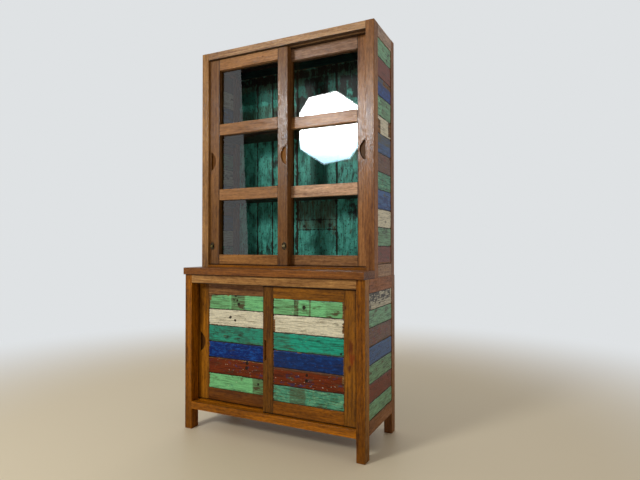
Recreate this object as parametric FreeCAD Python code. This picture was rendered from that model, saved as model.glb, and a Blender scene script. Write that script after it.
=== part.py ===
"""Two-stage mizuya kitchen cabinet: a plank-sided lower case under a glazed upper case.

All sizes are in millimetres. +X is to the viewer's right, the front faces -Y and +Z is up. The origin is on
the floor, under the middle of the cabinet's bounding box. Each piece is one solid and goes to
parts/NODE.step. Pieces that repeat side by side in one panel or frame share a node, as separate solids.

The construction is frame and panel. Rails are tenoned into square posts, planks and boards are tongued into
grooves in that frame, and each case has two doors that slide past each other in grooved sills and heads.
"""
import FreeCAD
import Part
import os

# ---------------------------------------------------------------------------------------------------------
# Driving dimensions
# ---------------------------------------------------------------------------------------------------------

# The whole cabinet
cabinet_width = 900.0
cabinet_height = 1800.0
case_depth = 395.0               # lower case, front of its front posts to back of its back posts
lower_case_height = 720.0        # floor to the top of the lower frame
leg_height = 94.0                # floor to the underside of the lower rails

# The counter strip in front of the upper case
counter_thickness = 32.0
counter_overhang = 13.0          # beyond the lower front posts

# Where the upper case stands on the lower one
upper_setback = 116.0            # lower front face to upper front face
upper_side_inset = 2.0           # upper side in from the lower side

# Frame members
post_width = 38.0                # across the front
front_post_depth = 50.0
back_post_depth = 46.0
rail_thickness = 30.0
lower_side_rail_height = 57.0
upper_side_rail_height = 54.0
lower_sill_height = 34.0
lower_head_height = 40.0
upper_sill_height = 42.0
upper_head_height = 34.0
post_edge_radius = 2.5
member_edge_radius = 1.5
foot_chamfer = 1.5               # round the underside of each leg

# Mortise and tenon joints of the two cases
side_tenon_length = 18.0         # of a side rail, into the depth of a post
tenon_end_wall = 20.0            # of a post, past the end of a sill's, head's or back rail's tenon
tenon_thickness = 12.0
front_tenon_thickness = 14.0
tenon_shoulder = 6.0             # above and below a tenon
tenon_setback = 10.0             # outer face of a member to its tenon
joint_clearance = 0.15           # around a tenon, tongue or dowel
joint_end_gap = 0.8              # past the end of a tenon, tongue or dowel

# Planks of the sides and of the lower doors
plank_thickness = 16.0
plank_recess = 2.0               # plank face behind the frame face
plank_tongue_length = 7.0
plank_tongue_thickness = 8.0
lower_side_planks = (70.0, 71.0, 76.0, 73.0, 76.0, 76.0, 68.0)       # heights, top to bottom
upper_side_planks = (81.5, 85.0, 80.5, 86.0, 76.5, 84.0, 81.5, 77.0, 84.0, 78.5, 80.5, 79.0)
door_planks = (69.0, 77.0, 76.0, 74.0, 75.0, 71.0)

# Boards of the backs
back_board_thickness = 14.0
back_board_recess = 6.0          # board face in front of the back face
lower_back_boards = (146.0, 128.0, 139.0, 152.0, 121.0, 138.0)       # widths, left to right
upper_back_boards = (118.0, 92.0, 148.0, 217.0, 120.0, 125.0)

# Floors, tops and shelves
floor_thickness = 12.0
housing_depth = 8.0              # how far a floor or top goes into its rails
lower_top_drop = 8.0             # top board below the lower frame's top
upper_top_drop = 8.0             # top board below the cabinet's top
shelf_thickness = 20.0
shelf_front_gap = 6.0            # behind the door tracks
shelf_side_gap = 0.5
cleat_height = 20.0
lower_shelf_height = 392.0       # floor to the lower shelf's underside
shelf_rise = 4.0                 # upper shelf's underside over its door rail's underside

# Doors
door_thickness = 36.0
door_setback = 14.0              # post face to the front door's face
door_gap = 5.0                   # between the two doors of a case
track_back_margin = 10.0         # wood behind the rear door
door_overlap = 56.0              # of the closed doors
door_side_clearance = 0.5        # door edge to jamb
door_reveal = 1.5                # door shoulder to sill and head
meeting_stile_width = 52.0
outer_stile_width = 57.0
glass_door_top_rail = 52.0
glass_door_middle_rail = 53.0
glass_door_bottom_rail = 48.0
glass_door_panes = 3
plank_door_top_rail = 51.0
plank_door_bottom_rail = 57.0
door_tenon_length = 30.0
door_tenon_thickness = 10.0
door_tenon_setback = 4.0
door_tenon_shoulder = 6.0
door_edge_radius = 1.5

# Door runners and the grooves they slide in
runner_thickness = 16.0
runner_side_clearance = 0.5
sill_groove_depth = 4.0
runner_sill_clearance = 0.5      # runner to groove floor, so that the door glides free
head_groove_depth = 14.0
runner_head_reach = 9.0          # leaves room to lift the door out over the sill groove

# Glazing
glass_thickness = 3.0
glass_setback = 18.0             # door face to glass
glass_rebate = 8.0
glass_edge_clearance = 1.0
bead_depth = 10.0

# Half-moon finger pulls
pull_height = 92.0
pull_width = 28.0
pull_depth = 9.0
pull_edge_inset = 8.0            # door edge to the pull's straight side
rear_pull_edge_inset = 20.0      # in the rear glass door, whose edge lies behind the front post
upper_pull_height = 1269.0       # floor to the middle of the pull
lower_pull_height = 400.0

# Screw locks of the front glass door
lock_plate_width = 22.0
lock_plate_height = 36.0
lock_plate_thickness = 2.0
lock_edge_inset = 16.0           # door edge to the lock's axis
lock_above_sill = 91.0
lock_screw_radius = 4.0
lock_running_clearance = 0.05
lock_screw_length = 30.0         # behind the plate's face
lock_knob_radius = 6.0
lock_knob_length = 3.5
lock_wing_width = 3.5
lock_wing_length = 13.0
lock_wing_height = 6.0
lock_wing_edge_radius = 1.0
lock_face_gap = 0.3
lock_socket_radius = 6.5
lock_socket_length = 14.0
lock_socket_flange_radius = 9.0
lock_socket_flange_thickness = 1.5
lock_socket_fit = 0.05           # around the socket in its stile

# Dowels and screws
dowel_radius = 5.0
dowel_length = 30.0
dowel_side_inset = 14.0          # lower case's side to a dowel's axis
dowel_front_inset = 22.0         # upper case's front face to the front dowels' axes
dowel_back_inset = 14.0          # back face to the back dowels' axes
counter_screw_radius = 2.5
counter_screw_head_radius = 4.6
counter_screw_head_height = 2.6
counter_screw_reach = 22.0       # into the counter strip
counter_screw_count = 4
counter_screw_setback = 12.0     # behind the lower front face
counter_screw_end_inset = 90.0

# ---------------------------------------------------------------------------------------------------------
# Places worked out from those sizes
# ---------------------------------------------------------------------------------------------------------

overall_depth = case_depth + counter_overhang
lower_front = counter_overhang - overall_depth / 2
back_face = overall_depth / 2
upper_front = lower_front + upper_setback
front_door_offset = door_setback
rear_door_offset = door_setback + door_thickness + door_gap
track_depth = rear_door_offset + door_thickness + track_back_margin
runner_offset = (door_thickness - runner_thickness) / 2


class Case:
    """The planes that the pieces of one case share."""

    def __init__(self, half_width, front, foot, base, top, side_rail, sill, head, planks, boards, top_drop):
        self.x_out = half_width
        self.x_post = half_width - post_width
        self.x_rail = half_width - rail_thickness
        self.x_plank_out = half_width - plank_recess
        self.x_plank_in = self.x_plank_out - plank_thickness
        self.x_tongue_in = self.x_plank_in + (plank_thickness - plank_tongue_thickness) / 2
        self.x_tongue_out = self.x_tongue_in + plank_tongue_thickness
        self.y_front = front
        self.y_back = back_face
        self.y_front_post = front + front_post_depth
        self.y_back_post = back_face - back_post_depth
        self.y_track = front + track_depth
        self.y_back_rail = back_face - rail_thickness
        self.y_board_out = back_face - back_board_recess
        self.y_board_in = self.y_board_out - back_board_thickness
        self.y_board_tongue_in = self.y_board_in + (back_board_thickness - plank_tongue_thickness) / 2
        self.y_board_tongue_out = self.y_board_tongue_in + plank_tongue_thickness
        self.z_foot = foot
        self.z_base = base
        self.z_top = top
        self.z_panel_low = base + side_rail
        self.z_panel_high = top - side_rail
        self.z_sill = base + sill
        self.z_head = top - head
        self.z_top_board = top - top_drop - floor_thickness
        self.planks = planks
        self.boards = boards


lower = Case(cabinet_width / 2, lower_front, 0.0, leg_height, lower_case_height, lower_side_rail_height,
             lower_sill_height, lower_head_height, lower_side_planks, lower_back_boards, lower_top_drop)
upper = Case(cabinet_width / 2 - upper_side_inset, upper_front, lower_case_height, lower_case_height,
             cabinet_height, upper_side_rail_height, upper_sill_height, upper_head_height,
             upper_side_planks, upper_back_boards, upper_top_drop)


# ---------------------------------------------------------------------------------------------------------
# Small helpers
# ---------------------------------------------------------------------------------------------------------

def block(x, y, z):
    """A box between three (low, high) pairs."""
    return Part.makeBox(x[1] - x[0], y[1] - y[0], z[1] - z[0], FreeCAD.Vector(x[0], y[0], z[0]))


def eased_block(x, y, z, axis, radius):
    """A box whose four edges along one axis, 0 for X to 2 for Z, are rounded over."""
    solid = block(x, y, z)
    direction = [0.0, 0.0, 0.0]
    direction[axis] = 1.0
    wanted = FreeCAD.Vector(*direction)
    edges = []
    for edge in solid.Edges:
        run = edge.Vertexes[1].Point.sub(edge.Vertexes[0].Point)
        if abs(run.dot(wanted)) > 0.99 * run.Length:
            edges.append(edge)
    return solid.makeFillet(radius, edges)


def grown(pair, amount):
    """A (low, high) pair made larger at both ends."""
    return (pair[0] - amount, pair[1] + amount)


def mirrored(solid):
    """The same piece for the other side of the cabinet."""
    return solid.mirror(FreeCAD.Vector(0, 0, 0), FreeCAD.Vector(1, 0, 0))


def spans(sizes, start, end):
    """Cut the stretch from start to end into (low, high) pairs in proportion to the sizes."""
    scale = (end - start) / sum(sizes)
    pairs = []
    place = start
    for size in sizes:
        following = place + size * scale
        pairs.append((min(place, following), max(place, following)))
        place = following
    return pairs


def rod_along_y(radius, x, z, y):
    """A round bar along Y between a (low, high) pair."""
    return Part.makeCylinder(radius, y[1] - y[0], FreeCAD.Vector(x, y[0], z), FreeCAD.Vector(0, 1, 0))


def rod_along_z(radius, x, y, z):
    """A round bar along Z between a (low, high) pair."""
    return Part.makeCylinder(radius, z[1] - z[0], FreeCAD.Vector(x, y, z[0]), FreeCAD.Vector(0, 0, 1))


def save(node, solids):
    """Write one node, made of one solid or a list of separate solids."""
    if not isinstance(solids, list):
        solids = [solids]
    for solid in solids:
        if len(solid.Solids) != 1 or not solid.isValid():
            raise ValueError("a piece of " + node + " is not one sound solid")
    shape = solids[0].Solids[0]
    if len(solids) > 1:
        shape = Part.makeCompound([solid.Solids[0] for solid in solids])
    shape.exportStep("parts/" + node + ".step")


# ---------------------------------------------------------------------------------------------------------
# Tenons of the case frames, each as the (x, y, z) ranges of the tenon on the right-hand side
# ---------------------------------------------------------------------------------------------------------

def front_tenon(case, z):
    """A sill's or head's tenon, which enters the front post from the opening."""
    y = (case.y_front + tenon_setback, case.y_front + tenon_setback + front_tenon_thickness)
    return ((case.x_post, case.x_out - tenon_end_wall), y, grown(z, -tenon_shoulder))


def back_tenon(case, z):
    """A back rail's tenon, which enters the back post from the inside."""
    y = (case.y_back - tenon_setback - tenon_thickness, case.y_back - tenon_setback)
    return ((case.x_post, case.x_out - tenon_end_wall), y, grown(z, -tenon_shoulder))


def side_tenons(case, z):
    """A side rail's two tenons, into the front post and into the back post."""
    x = (case.x_out - tenon_setback - tenon_thickness, case.x_out - tenon_setback)
    z = grown(z, -tenon_shoulder)
    ahead = (x, (case.y_front_post - side_tenon_length, case.y_front_post), z)
    behind = (x, (case.y_back_post, case.y_back_post + side_tenon_length), z)
    return ahead, behind


def mortise(tenon, axis, direction):
    """The hole for a tenon: a little larger all round and a little deeper along its axis."""
    ranges = []
    for index, pair in enumerate(tenon):
        if index != axis:
            ranges.append(grown(pair, joint_clearance))
        elif direction > 0:
            ranges.append((pair[0], pair[1] + joint_end_gap))
        else:
            ranges.append((pair[0] - joint_end_gap, pair[1]))
    return block(*ranges)


def bottom_rail_z(case):
    return (case.z_base, case.z_panel_low)


def top_rail_z(case):
    return (case.z_panel_high, case.z_top)


def sill_z(case):
    return (case.z_base, case.z_sill)


def head_z(case):
    return (case.z_head, case.z_top)


# ---------------------------------------------------------------------------------------------------------
# Posts
# ---------------------------------------------------------------------------------------------------------

def dowel_places():
    """The (x, y) of the right-hand dowels that keep the upper case in place on the lower one."""
    x = cabinet_width / 2 - dowel_side_inset
    return [(x, upper.y_front + dowel_front_inset), (x, back_face - dowel_back_inset)]


def dowel_holes():
    """What the dowels need cut away on the right-hand side, above and below the joint."""
    reach = dowel_length / 2 + joint_end_gap
    z = (lower_case_height - reach, lower_case_height + reach)
    return [rod_along_z(dowel_radius + joint_clearance, x, y, z) for x, y in dowel_places()]


def post_blank(case, y):
    """A square post with rounded arrises and, where it is a leg, a chamfered foot."""
    solid = eased_block((case.x_post, case.x_out), y, (case.z_foot, case.z_top), 2, post_edge_radius)
    if case.z_foot > 0:
        return solid
    foot_edges = [edge for edge in solid.Edges if edge.BoundBox.ZMax < case.z_foot + 0.01]
    return solid.makeChamfer(foot_chamfer, foot_edges)


def plank_groove_in_post(case, y, direction):
    """The groove that takes the ends of the side planks, in a post's face at y."""
    reach = plank_tongue_length + joint_end_gap
    depth = (y, y + reach) if direction > 0 else (y - reach, y)
    x = grown((case.x_tongue_in, case.x_tongue_out), joint_clearance)
    return block(x, depth, (case.z_panel_low, case.z_panel_high))


def front_post(case):
    """The right-hand front post, mortised for the sill, the head and the two side rails."""
    solid = post_blank(case, (case.y_front, case.y_front_post))
    cuts = [mortise(front_tenon(case, sill_z(case)), 0, 1), mortise(front_tenon(case, head_z(case)), 0, 1)]
    for z in (bottom_rail_z(case), top_rail_z(case)):
        cuts.append(mortise(side_tenons(case, z)[0], 1, -1))
    cuts.append(plank_groove_in_post(case, case.y_front_post, -1))
    if case is upper:
        cuts.append(dowel_holes()[0])
    return solid.cut(cuts).removeSplitter()


def back_post(case):
    """The right-hand back post, mortised for the back rails and the side rails."""
    solid = post_blank(case, (case.y_back_post, case.y_back))
    cuts = []
    for z in (bottom_rail_z(case), top_rail_z(case)):
        cuts.append(mortise(back_tenon(case, z), 0, 1))
        cuts.append(mortise(side_tenons(case, z)[1], 1, 1))
    cuts.append(plank_groove_in_post(case, case.y_back_post, 1))
    board_groove_x = (case.x_post, case.x_post + plank_tongue_length + joint_end_gap)
    board_groove_y = grown((case.y_board_tongue_in, case.y_board_tongue_out), joint_clearance)
    cuts.append(block(board_groove_x, board_groove_y, (case.z_panel_low, case.z_panel_high)))
    cuts.append(dowel_holes()[1])
    return solid.cut(cuts).removeSplitter()


# ---------------------------------------------------------------------------------------------------------
# Rails, sills and heads
# ---------------------------------------------------------------------------------------------------------

def floor_slot(case, z_low):
    """The housing, in whatever rails it meets, for a floor or top board whose underside is at z_low."""
    return floor_board(case, z_low, joint_clearance, joint_end_gap)


def floor_board(case, z_low, side_clearance=0.0, end_gap=0.0):
    """A floor or top board, housed at its edges in the side rails, the back rail and the sill or head."""
    z = grown((z_low, z_low + floor_thickness), side_clearance)
    reach = housing_depth + end_gap
    middle = block((-case.x_post, case.x_post), (case.y_track - reach, case.y_back_rail + reach), z)
    wide = block((-case.x_rail - reach, case.x_rail + reach), (case.y_track, case.y_back_post), z)
    return middle.fuse(wide).removeSplitter()


def floor_z(case):
    """Underside of a case's floor, whose top is level with its sill."""
    return case.z_sill - floor_thickness


def side_rail(case, z, panel_edge):
    """A right-hand side rail, grooved for the planks in its panel edge (1 for its top, -1 for its underside)."""
    x = (case.x_rail, case.x_out)
    solid = eased_block(x, (case.y_front_post, case.y_back_post), z, 1, member_edge_radius)
    for tenon in side_tenons(case, z):
        solid = solid.fuse(block(*tenon))
    reach = plank_tongue_length + joint_end_gap
    groove_z = (z[1] - reach, z[1]) if panel_edge > 0 else (z[0], z[0] + reach)
    groove_x = grown((case.x_tongue_in, case.x_tongue_out), joint_clearance)
    cuts = [block(groove_x, (case.y_front_post, case.y_back_post), groove_z)]
    cuts.append(floor_slot(case, floor_z(case) if panel_edge > 0 else case.z_top_board))
    if case is lower and panel_edge < 0:
        cuts.append(dowel_holes()[0])
    return solid.cut(cuts).removeSplitter()


def back_rail(case, z, panel_edge):
    """A back rail, tenoned into both back posts and grooved for the back boards."""
    x = (-case.x_post, case.x_post)
    solid = eased_block(x, (case.y_back_rail, case.y_back), z, 0, member_edge_radius)
    tenon = block(*back_tenon(case, z))
    solid = solid.fuse([tenon, mirrored(tenon)])
    reach = plank_tongue_length + joint_end_gap
    groove_z = (z[1] - reach, z[1]) if panel_edge > 0 else (z[0], z[0] + reach)
    groove_y = grown((case.y_board_tongue_in, case.y_board_tongue_out), joint_clearance)
    slot = floor_slot(case, floor_z(case) if panel_edge > 0 else case.z_top_board)
    return solid.cut([block(x, groove_y, groove_z), slot]).removeSplitter()


def track_grooves(case, z):
    """The two grooves that the doors' runners slide in, the full width between the posts."""
    grooves = []
    for offset in (front_door_offset, rear_door_offset):
        low = case.y_front + offset + runner_offset
        y = grown((low, low + runner_thickness), runner_side_clearance)
        grooves.append(block((-case.x_post, case.x_post), y, z))
    return grooves


def sill(case):
    """The grooved sill that both doors stand on."""
    z = sill_z(case)
    solid = eased_block((-case.x_post, case.x_post), (case.y_front, case.y_track), z, 0, member_edge_radius)
    tenon = block(*front_tenon(case, z))
    solid = solid.fuse([tenon, mirrored(tenon)])
    cuts = track_grooves(case, (z[1] - sill_groove_depth, z[1]))
    cuts.append(floor_slot(case, floor_z(case)))
    return solid.cut(cuts).removeSplitter()


def head(case):
    """The grooved head over both doors; its grooves are deep so that a door can be lifted out."""
    z = head_z(case)
    solid = eased_block((-case.x_post, case.x_post), (case.y_front, case.y_track), z, 0, member_edge_radius)
    tenon = block(*front_tenon(case, z))
    solid = solid.fuse([tenon, mirrored(tenon)])
    cuts = track_grooves(case, (z[0], z[0] + head_groove_depth))
    cuts.append(floor_slot(case, case.z_top_board))
    if case is lower:
        cuts.extend(counter_screw(x, joint_clearance) for x in counter_screw_places())
    return solid.cut(cuts).removeSplitter()


def jamb_strip(case):
    """The right-hand strip behind the front post that the rear door closes against."""
    return block((case.x_post, case.x_rail), (case.y_front_post, case.y_track), (case.z_base, case.z_top))


# ---------------------------------------------------------------------------------------------------------
# Side planks, back boards, shelves
# ---------------------------------------------------------------------------------------------------------

def side_plank_set(case):
    """The right-hand side planks, top to bottom, tongued into the posts and rails."""
    y = (case.y_front_post, case.y_back_post)
    pairs = spans(case.planks, case.z_panel_high, case.z_panel_low)
    solids = []
    for index, z in enumerate(pairs):
        body = block((case.x_plank_in, case.x_plank_out), y, z)
        tongue_x = (case.x_tongue_in, case.x_tongue_out)
        pieces = [block(tongue_x, grown(y, plank_tongue_length), z)]
        if index == 0:
            pieces.append(block(tongue_x, y, (z[0], z[1] + plank_tongue_length)))
        if index == len(pairs) - 1:
            pieces.append(block(tongue_x, y, (z[0] - plank_tongue_length, z[1])))
        solids.append(body.fuse(pieces).removeSplitter())
    return solids


def back_board_set(case):
    """The upright back boards, left to right, tongued into the back posts and rails."""
    z = (case.z_panel_low, case.z_panel_high)
    pairs = spans(case.boards, -case.x_post, case.x_post)
    tongue_y = (case.y_board_tongue_in, case.y_board_tongue_out)
    solids = []
    for index, x in enumerate(pairs):
        body = block(x, (case.y_board_in, case.y_board_out), z)
        pieces = [block(x, tongue_y, grown(z, plank_tongue_length))]
        if index == 0:
            pieces.append(block((x[0] - plank_tongue_length, x[1]), tongue_y, z))
        if index == len(pairs) - 1:
            pieces.append(block((x[0], x[1] + plank_tongue_length), tongue_y, z))
        solids.append(body.fuse(pieces).removeSplitter())
    return solids


def shelf(case, z_low):
    """A shelf notched round the back posts; it lies on cleats and lifts out."""
    front = case.y_track + shelf_front_gap
    half = case.x_plank_in - shelf_side_gap
    back = case.y_board_in - shelf_side_gap
    z = (z_low, z_low + shelf_thickness)
    solid = eased_block((-half, half), (front, back), z, 0, member_edge_radius)
    notch = block((case.x_post - shelf_side_gap, half + 1), (case.y_back_post - shelf_side_gap, back + 1), z)
    return solid.cut([notch, mirrored(notch)]).removeSplitter()


def shelf_cleat(case, z_low):
    """A right-hand cleat under a shelf, in the space between the jamb strip and the back post."""
    z = (z_low - cleat_height, z_low)
    return block((case.x_post, case.x_plank_in), (case.y_track, case.y_back_post), z)


def upper_shelf_heights():
    """Undersides of the upper shelves, each hidden behind a middle rail of the glass doors."""
    return [z[0] + shelf_rise for z in glass_door_rails()[1:-1]]


# ---------------------------------------------------------------------------------------------------------
# Counter strip, its screws and the dowels between the cases
# ---------------------------------------------------------------------------------------------------------

def counter_screw_places():
    """The x of each screw that holds the counter strip down."""
    half = lower.x_post - counter_screw_end_inset
    step = 2 * half / (counter_screw_count - 1)
    return [-half + step * index for index in range(counter_screw_count)]


def counter_screw(x, clearance=0.0):
    """A countersunk screw up through the lower head into the counter strip."""
    y = lower.y_front + counter_screw_setback
    low = lower.z_head
    shank = rod_along_z(counter_screw_radius + clearance, x, y,
                        (low, lower_case_height + counter_screw_reach + clearance))
    cone = Part.makeCone(counter_screw_head_radius + clearance, counter_screw_radius + clearance,
                         counter_screw_head_height, FreeCAD.Vector(x, y, low), FreeCAD.Vector(0, 0, 1))
    return shank.fuse(cone).removeSplitter()


def counter_strip():
    """The board in front of the upper case, lapping over the lower front."""
    y = (lower.y_front - counter_overhang, upper.y_front)
    z = (lower_case_height, lower_case_height + counter_thickness)
    solid = eased_block((-lower.x_out, lower.x_out), y, z, 0, post_edge_radius)
    return solid.cut([counter_screw(x, joint_clearance) for x in counter_screw_places()]).removeSplitter()


def dowels():
    """The four dowels between the cases."""
    z = (lower_case_height - dowel_length / 2, lower_case_height + dowel_length / 2)
    right = [rod_along_z(dowel_radius, x, y, z) for x, y in dowel_places()]
    return right + [mirrored(solid) for solid in right]


# ---------------------------------------------------------------------------------------------------------
# Doors
# ---------------------------------------------------------------------------------------------------------

class Door:
    """One closed sliding door: side is -1 for a left-hand door and 1 for a right-hand one."""

    def __init__(self, case, side, offset, rails):
        jamb = case.x_post - door_side_clearance
        self.case = case
        self.side = side
        self.y = (case.y_front + offset, case.y_front + offset + door_thickness)
        self.x = (-jamb, door_overlap / 2) if side < 0 else (-door_overlap / 2, jamb)
        self.z = (case.z_sill + door_reveal, case.z_head - door_reveal)
        self.rails = rails
        left = outer_stile_width if side < 0 else meeting_stile_width
        right = meeting_stile_width if side < 0 else outer_stile_width
        self.x_open = (self.x[0] + left, self.x[1] - right)

    def openings(self):
        """The (low, high) heights between the rails, bottom to top."""
        return [(low[1], high[0]) for low, high in zip(self.rails, self.rails[1:])]

    def runner_y(self):
        return (self.y[0] + runner_offset, self.y[0] + runner_offset + runner_thickness)

    def foot_runner_z(self):
        return (self.case.z_sill - sill_groove_depth + runner_sill_clearance, self.z[0])

    def head_runner_z(self):
        return (self.z[1], self.case.z_head + runner_head_reach)


def glass_door_rails():
    """Heights of the glass doors' rails, bottom to top."""
    low = upper.z_sill + door_reveal
    high = upper.z_head - door_reveal
    rails = [(low, low + glass_door_bottom_rail)]
    top = (high - glass_door_top_rail, high)
    middles = glass_door_panes - 1
    glass = (top[0] - rails[0][1] - middles * glass_door_middle_rail) / glass_door_panes
    for _ in range(middles):
        start = rails[-1][1] + glass
        rails.append((start, start + glass_door_middle_rail))
    return rails + [top]


def plank_door_rails():
    """Heights of the plank doors' rails, bottom to top."""
    low = lower.z_sill + door_reveal
    high = lower.z_head - door_reveal
    return [(low, low + plank_door_bottom_rail), (high - plank_door_top_rail, high)]


def door_tenon(door, z, side):
    """A door rail's tenon at its left (-1) or right (1) end."""
    y = (door.y[0] + door_tenon_setback, door.y[0] + door_tenon_setback + door_tenon_thickness)
    z = grown(z, -door_tenon_shoulder)
    if side < 0:
        return ((door.x_open[0] - door_tenon_length, door.x_open[0]), y, z)
    return ((door.x_open[1], door.x_open[1] + door_tenon_length), y, z)


def glass_pockets(door):
    """The rebates, cut from the back, that take the panes and their beads."""
    x = grown(door.x_open, glass_rebate)
    y = (door.y[0] + glass_setback, door.y[1])
    return [block(x, y, grown(z, glass_rebate)) for z in door.openings()]


def plank_grooves(door):
    """The groove round the inside of a plank door's frame."""
    reach = plank_tongue_length + joint_end_gap
    y = grown(door_plank_tongue_y(door), joint_clearance)
    across = [block(grown(door.x_open, reach), y, z) for z in door.openings()]
    upright = [block(door.x_open, y, grown(z, reach)) for z in door.openings()]
    return across + upright


def door_plank_tongue_y(door):
    low = door.y[0] + plank_recess + (plank_thickness - plank_tongue_thickness) / 2
    return (low, low + plank_tongue_thickness)


def half_moon(door, side, inset, height):
    """A half-moon finger pull in one stile, its straight side towards the door's own edge."""
    edge = door.x[0] + inset if side < 0 else door.x[1] - inset
    inner = edge - side * pull_width
    front = door.y[0]
    low = FreeCAD.Vector(edge, front, height - pull_height / 2)
    high = FreeCAD.Vector(edge, front, height + pull_height / 2)
    arc = Part.Arc(high, FreeCAD.Vector(inner, front, height), low).toShape()
    face = Part.Face(Part.Wire([Part.makeLine(low, high), arc]))
    return face.extrude(FreeCAD.Vector(0, pull_depth, 0))


def door_stile(door, side, infill_cuts, pulls, locks=()):
    """A full-height stile with its runners, mortises, infill rebate or groove, pulls and lock holes."""
    x = (door.x[0], door.x_open[0]) if side < 0 else (door.x_open[1], door.x[1])
    solid = eased_block(x, door.y, door.z, 2, door_edge_radius)
    runners = [block(x, door.runner_y(), door.foot_runner_z()), block(x, door.runner_y(), door.head_runner_z())]
    solid = solid.fuse(runners)
    cuts = [mortise(door_tenon(door, z, side), 0, side) for z in door.rails]
    cuts.extend(infill_cuts)
    if side in pulls:
        height = upper_pull_height if door.case is upper else lower_pull_height
        cuts.append(half_moon(door, side, pulls[side], height))
    if side in locks:
        x_lock, z_lock = lock_place(door, side)
        cuts.append(rod_along_y(lock_screw_radius, x_lock, z_lock, door.y))
    return solid.cut(cuts).removeSplitter()


def door_rail(door, index, infill_cuts):
    """One rail of a door, tenoned into both stiles; the end rails carry the runners."""
    z = door.rails[index]
    solid = eased_block(door.x_open, door.y, z, 0, door_edge_radius)
    pieces = [block(*door_tenon(door, z, -1)), block(*door_tenon(door, z, 1))]
    if index == 0:
        pieces.append(block(door.x_open, door.runner_y(), door.foot_runner_z()))
    if index == len(door.rails) - 1:
        pieces.append(block(door.x_open, door.runner_y(), door.head_runner_z()))
    return solid.fuse(pieces).cut(infill_cuts).removeSplitter()


def glass_panes(door):
    """The panes of one door, set in their rebates from the back."""
    y = (door.y[0] + glass_setback, door.y[0] + glass_setback + glass_thickness)
    reach = glass_rebate - glass_edge_clearance
    return [block(grown(door.x_open, reach), y, grown(z, reach)) for z in door.openings()]


def glazing_beads(door):
    """Four beads behind each pane, the upright ones between the level ones."""
    low = door.y[0] + glass_setback + glass_thickness
    y = (low, low + bead_depth)
    x = grown(door.x_open, glass_rebate)
    solids = []
    for opening in door.openings():
        z = grown(opening, glass_rebate)
        solids.append(block(x, y, (z[0], opening[0])))
        solids.append(block(x, y, (opening[1], z[1])))
        solids.append(block((x[0], door.x_open[0]), y, opening))
        solids.append(block((door.x_open[1], x[1]), y, opening))
    return solids


def door_plank_set(door):
    """The level planks of one lower door, top to bottom, tongued into its frame."""
    opening = door.openings()[0]
    pairs = spans(door_planks, opening[1], opening[0])
    y = (door.y[0] + plank_recess, door.y[0] + plank_recess + plank_thickness)
    tongue_y = door_plank_tongue_y(door)
    solids = []
    for index, z in enumerate(pairs):
        pieces = [block(grown(door.x_open, plank_tongue_length), tongue_y, z)]
        if index == 0:
            pieces.append(block(door.x_open, tongue_y, (z[0], z[1] + plank_tongue_length)))
        if index == len(pairs) - 1:
            pieces.append(block(door.x_open, tongue_y, (z[0] - plank_tongue_length, z[1])))
        solids.append(block(door.x_open, y, z).fuse(pieces).removeSplitter())
    return solids


# ---------------------------------------------------------------------------------------------------------
# Screw locks
# ---------------------------------------------------------------------------------------------------------

def lock_place(door, side):
    """The (x, z) of the lock's axis in one stile."""
    x = door.x[0] + lock_edge_inset if side < 0 else door.x[1] - lock_edge_inset
    return x, door.case.z_sill + lock_above_sill


def lock_plate(door, side):
    """An oval plate on the stile's face, bored for the screw."""
    x, z = lock_place(door, side)
    y = (door.y[0] - lock_plate_thickness, door.y[0])
    radius = lock_plate_width / 2
    straight = (lock_plate_height - lock_plate_width) / 2
    solid = block((x - radius, x + radius), y, (z - straight, z + straight))
    for end in (z - straight, z + straight):
        solid = solid.fuse(rod_along_y(radius, x, end, y))
    return solid.cut(rod_along_y(lock_screw_radius, x, z, y)).removeSplitter()


def lock_socket(front_door, rear_door, growth=0.0, bored=True):
    """The flanged socket, let into the rear door's meeting stile, that the meeting lock's screw enters."""
    x, z = lock_place(front_door, -front_door.side)
    face = rear_door.y[0]
    barrel = rod_along_y(lock_socket_radius + growth, x, z, (face, face + lock_socket_length + growth))
    flange_y = (face, face + lock_socket_flange_thickness + growth)
    solid = barrel.fuse(rod_along_y(lock_socket_flange_radius + growth, x, z, flange_y))
    if bored:
        bore_y = (face, face + lock_socket_length)
        solid = solid.cut(rod_along_y(lock_screw_radius + lock_running_clearance, x, z, bore_y))
    return solid.removeSplitter()


def lock_screw(door, side):
    """The lock's screw with its knob and the wing that the fingers turn."""
    x, z = lock_place(door, side)
    face = door.y[0] - lock_plate_thickness
    shank_y = (face - lock_face_gap, face + lock_screw_length)
    shank = rod_along_y(lock_screw_radius - lock_running_clearance, x, z, shank_y)
    knob_y = (face - lock_face_gap - lock_knob_length, face - lock_face_gap)
    knob = rod_along_y(lock_knob_radius, x, z, knob_y)
    wing_x = (x - lock_wing_length / 2, x + lock_wing_length / 2)
    wing_z = (z - lock_wing_width / 2, z + lock_wing_width / 2)
    wing = eased_block(wing_x, (knob_y[0] - lock_wing_height, knob_y[1]), wing_z, 1, lock_wing_edge_radius)
    return shank.fuse([knob, wing]).removeSplitter()


# ---------------------------------------------------------------------------------------------------------
# Assemblies, written node by node
# ---------------------------------------------------------------------------------------------------------

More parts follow.
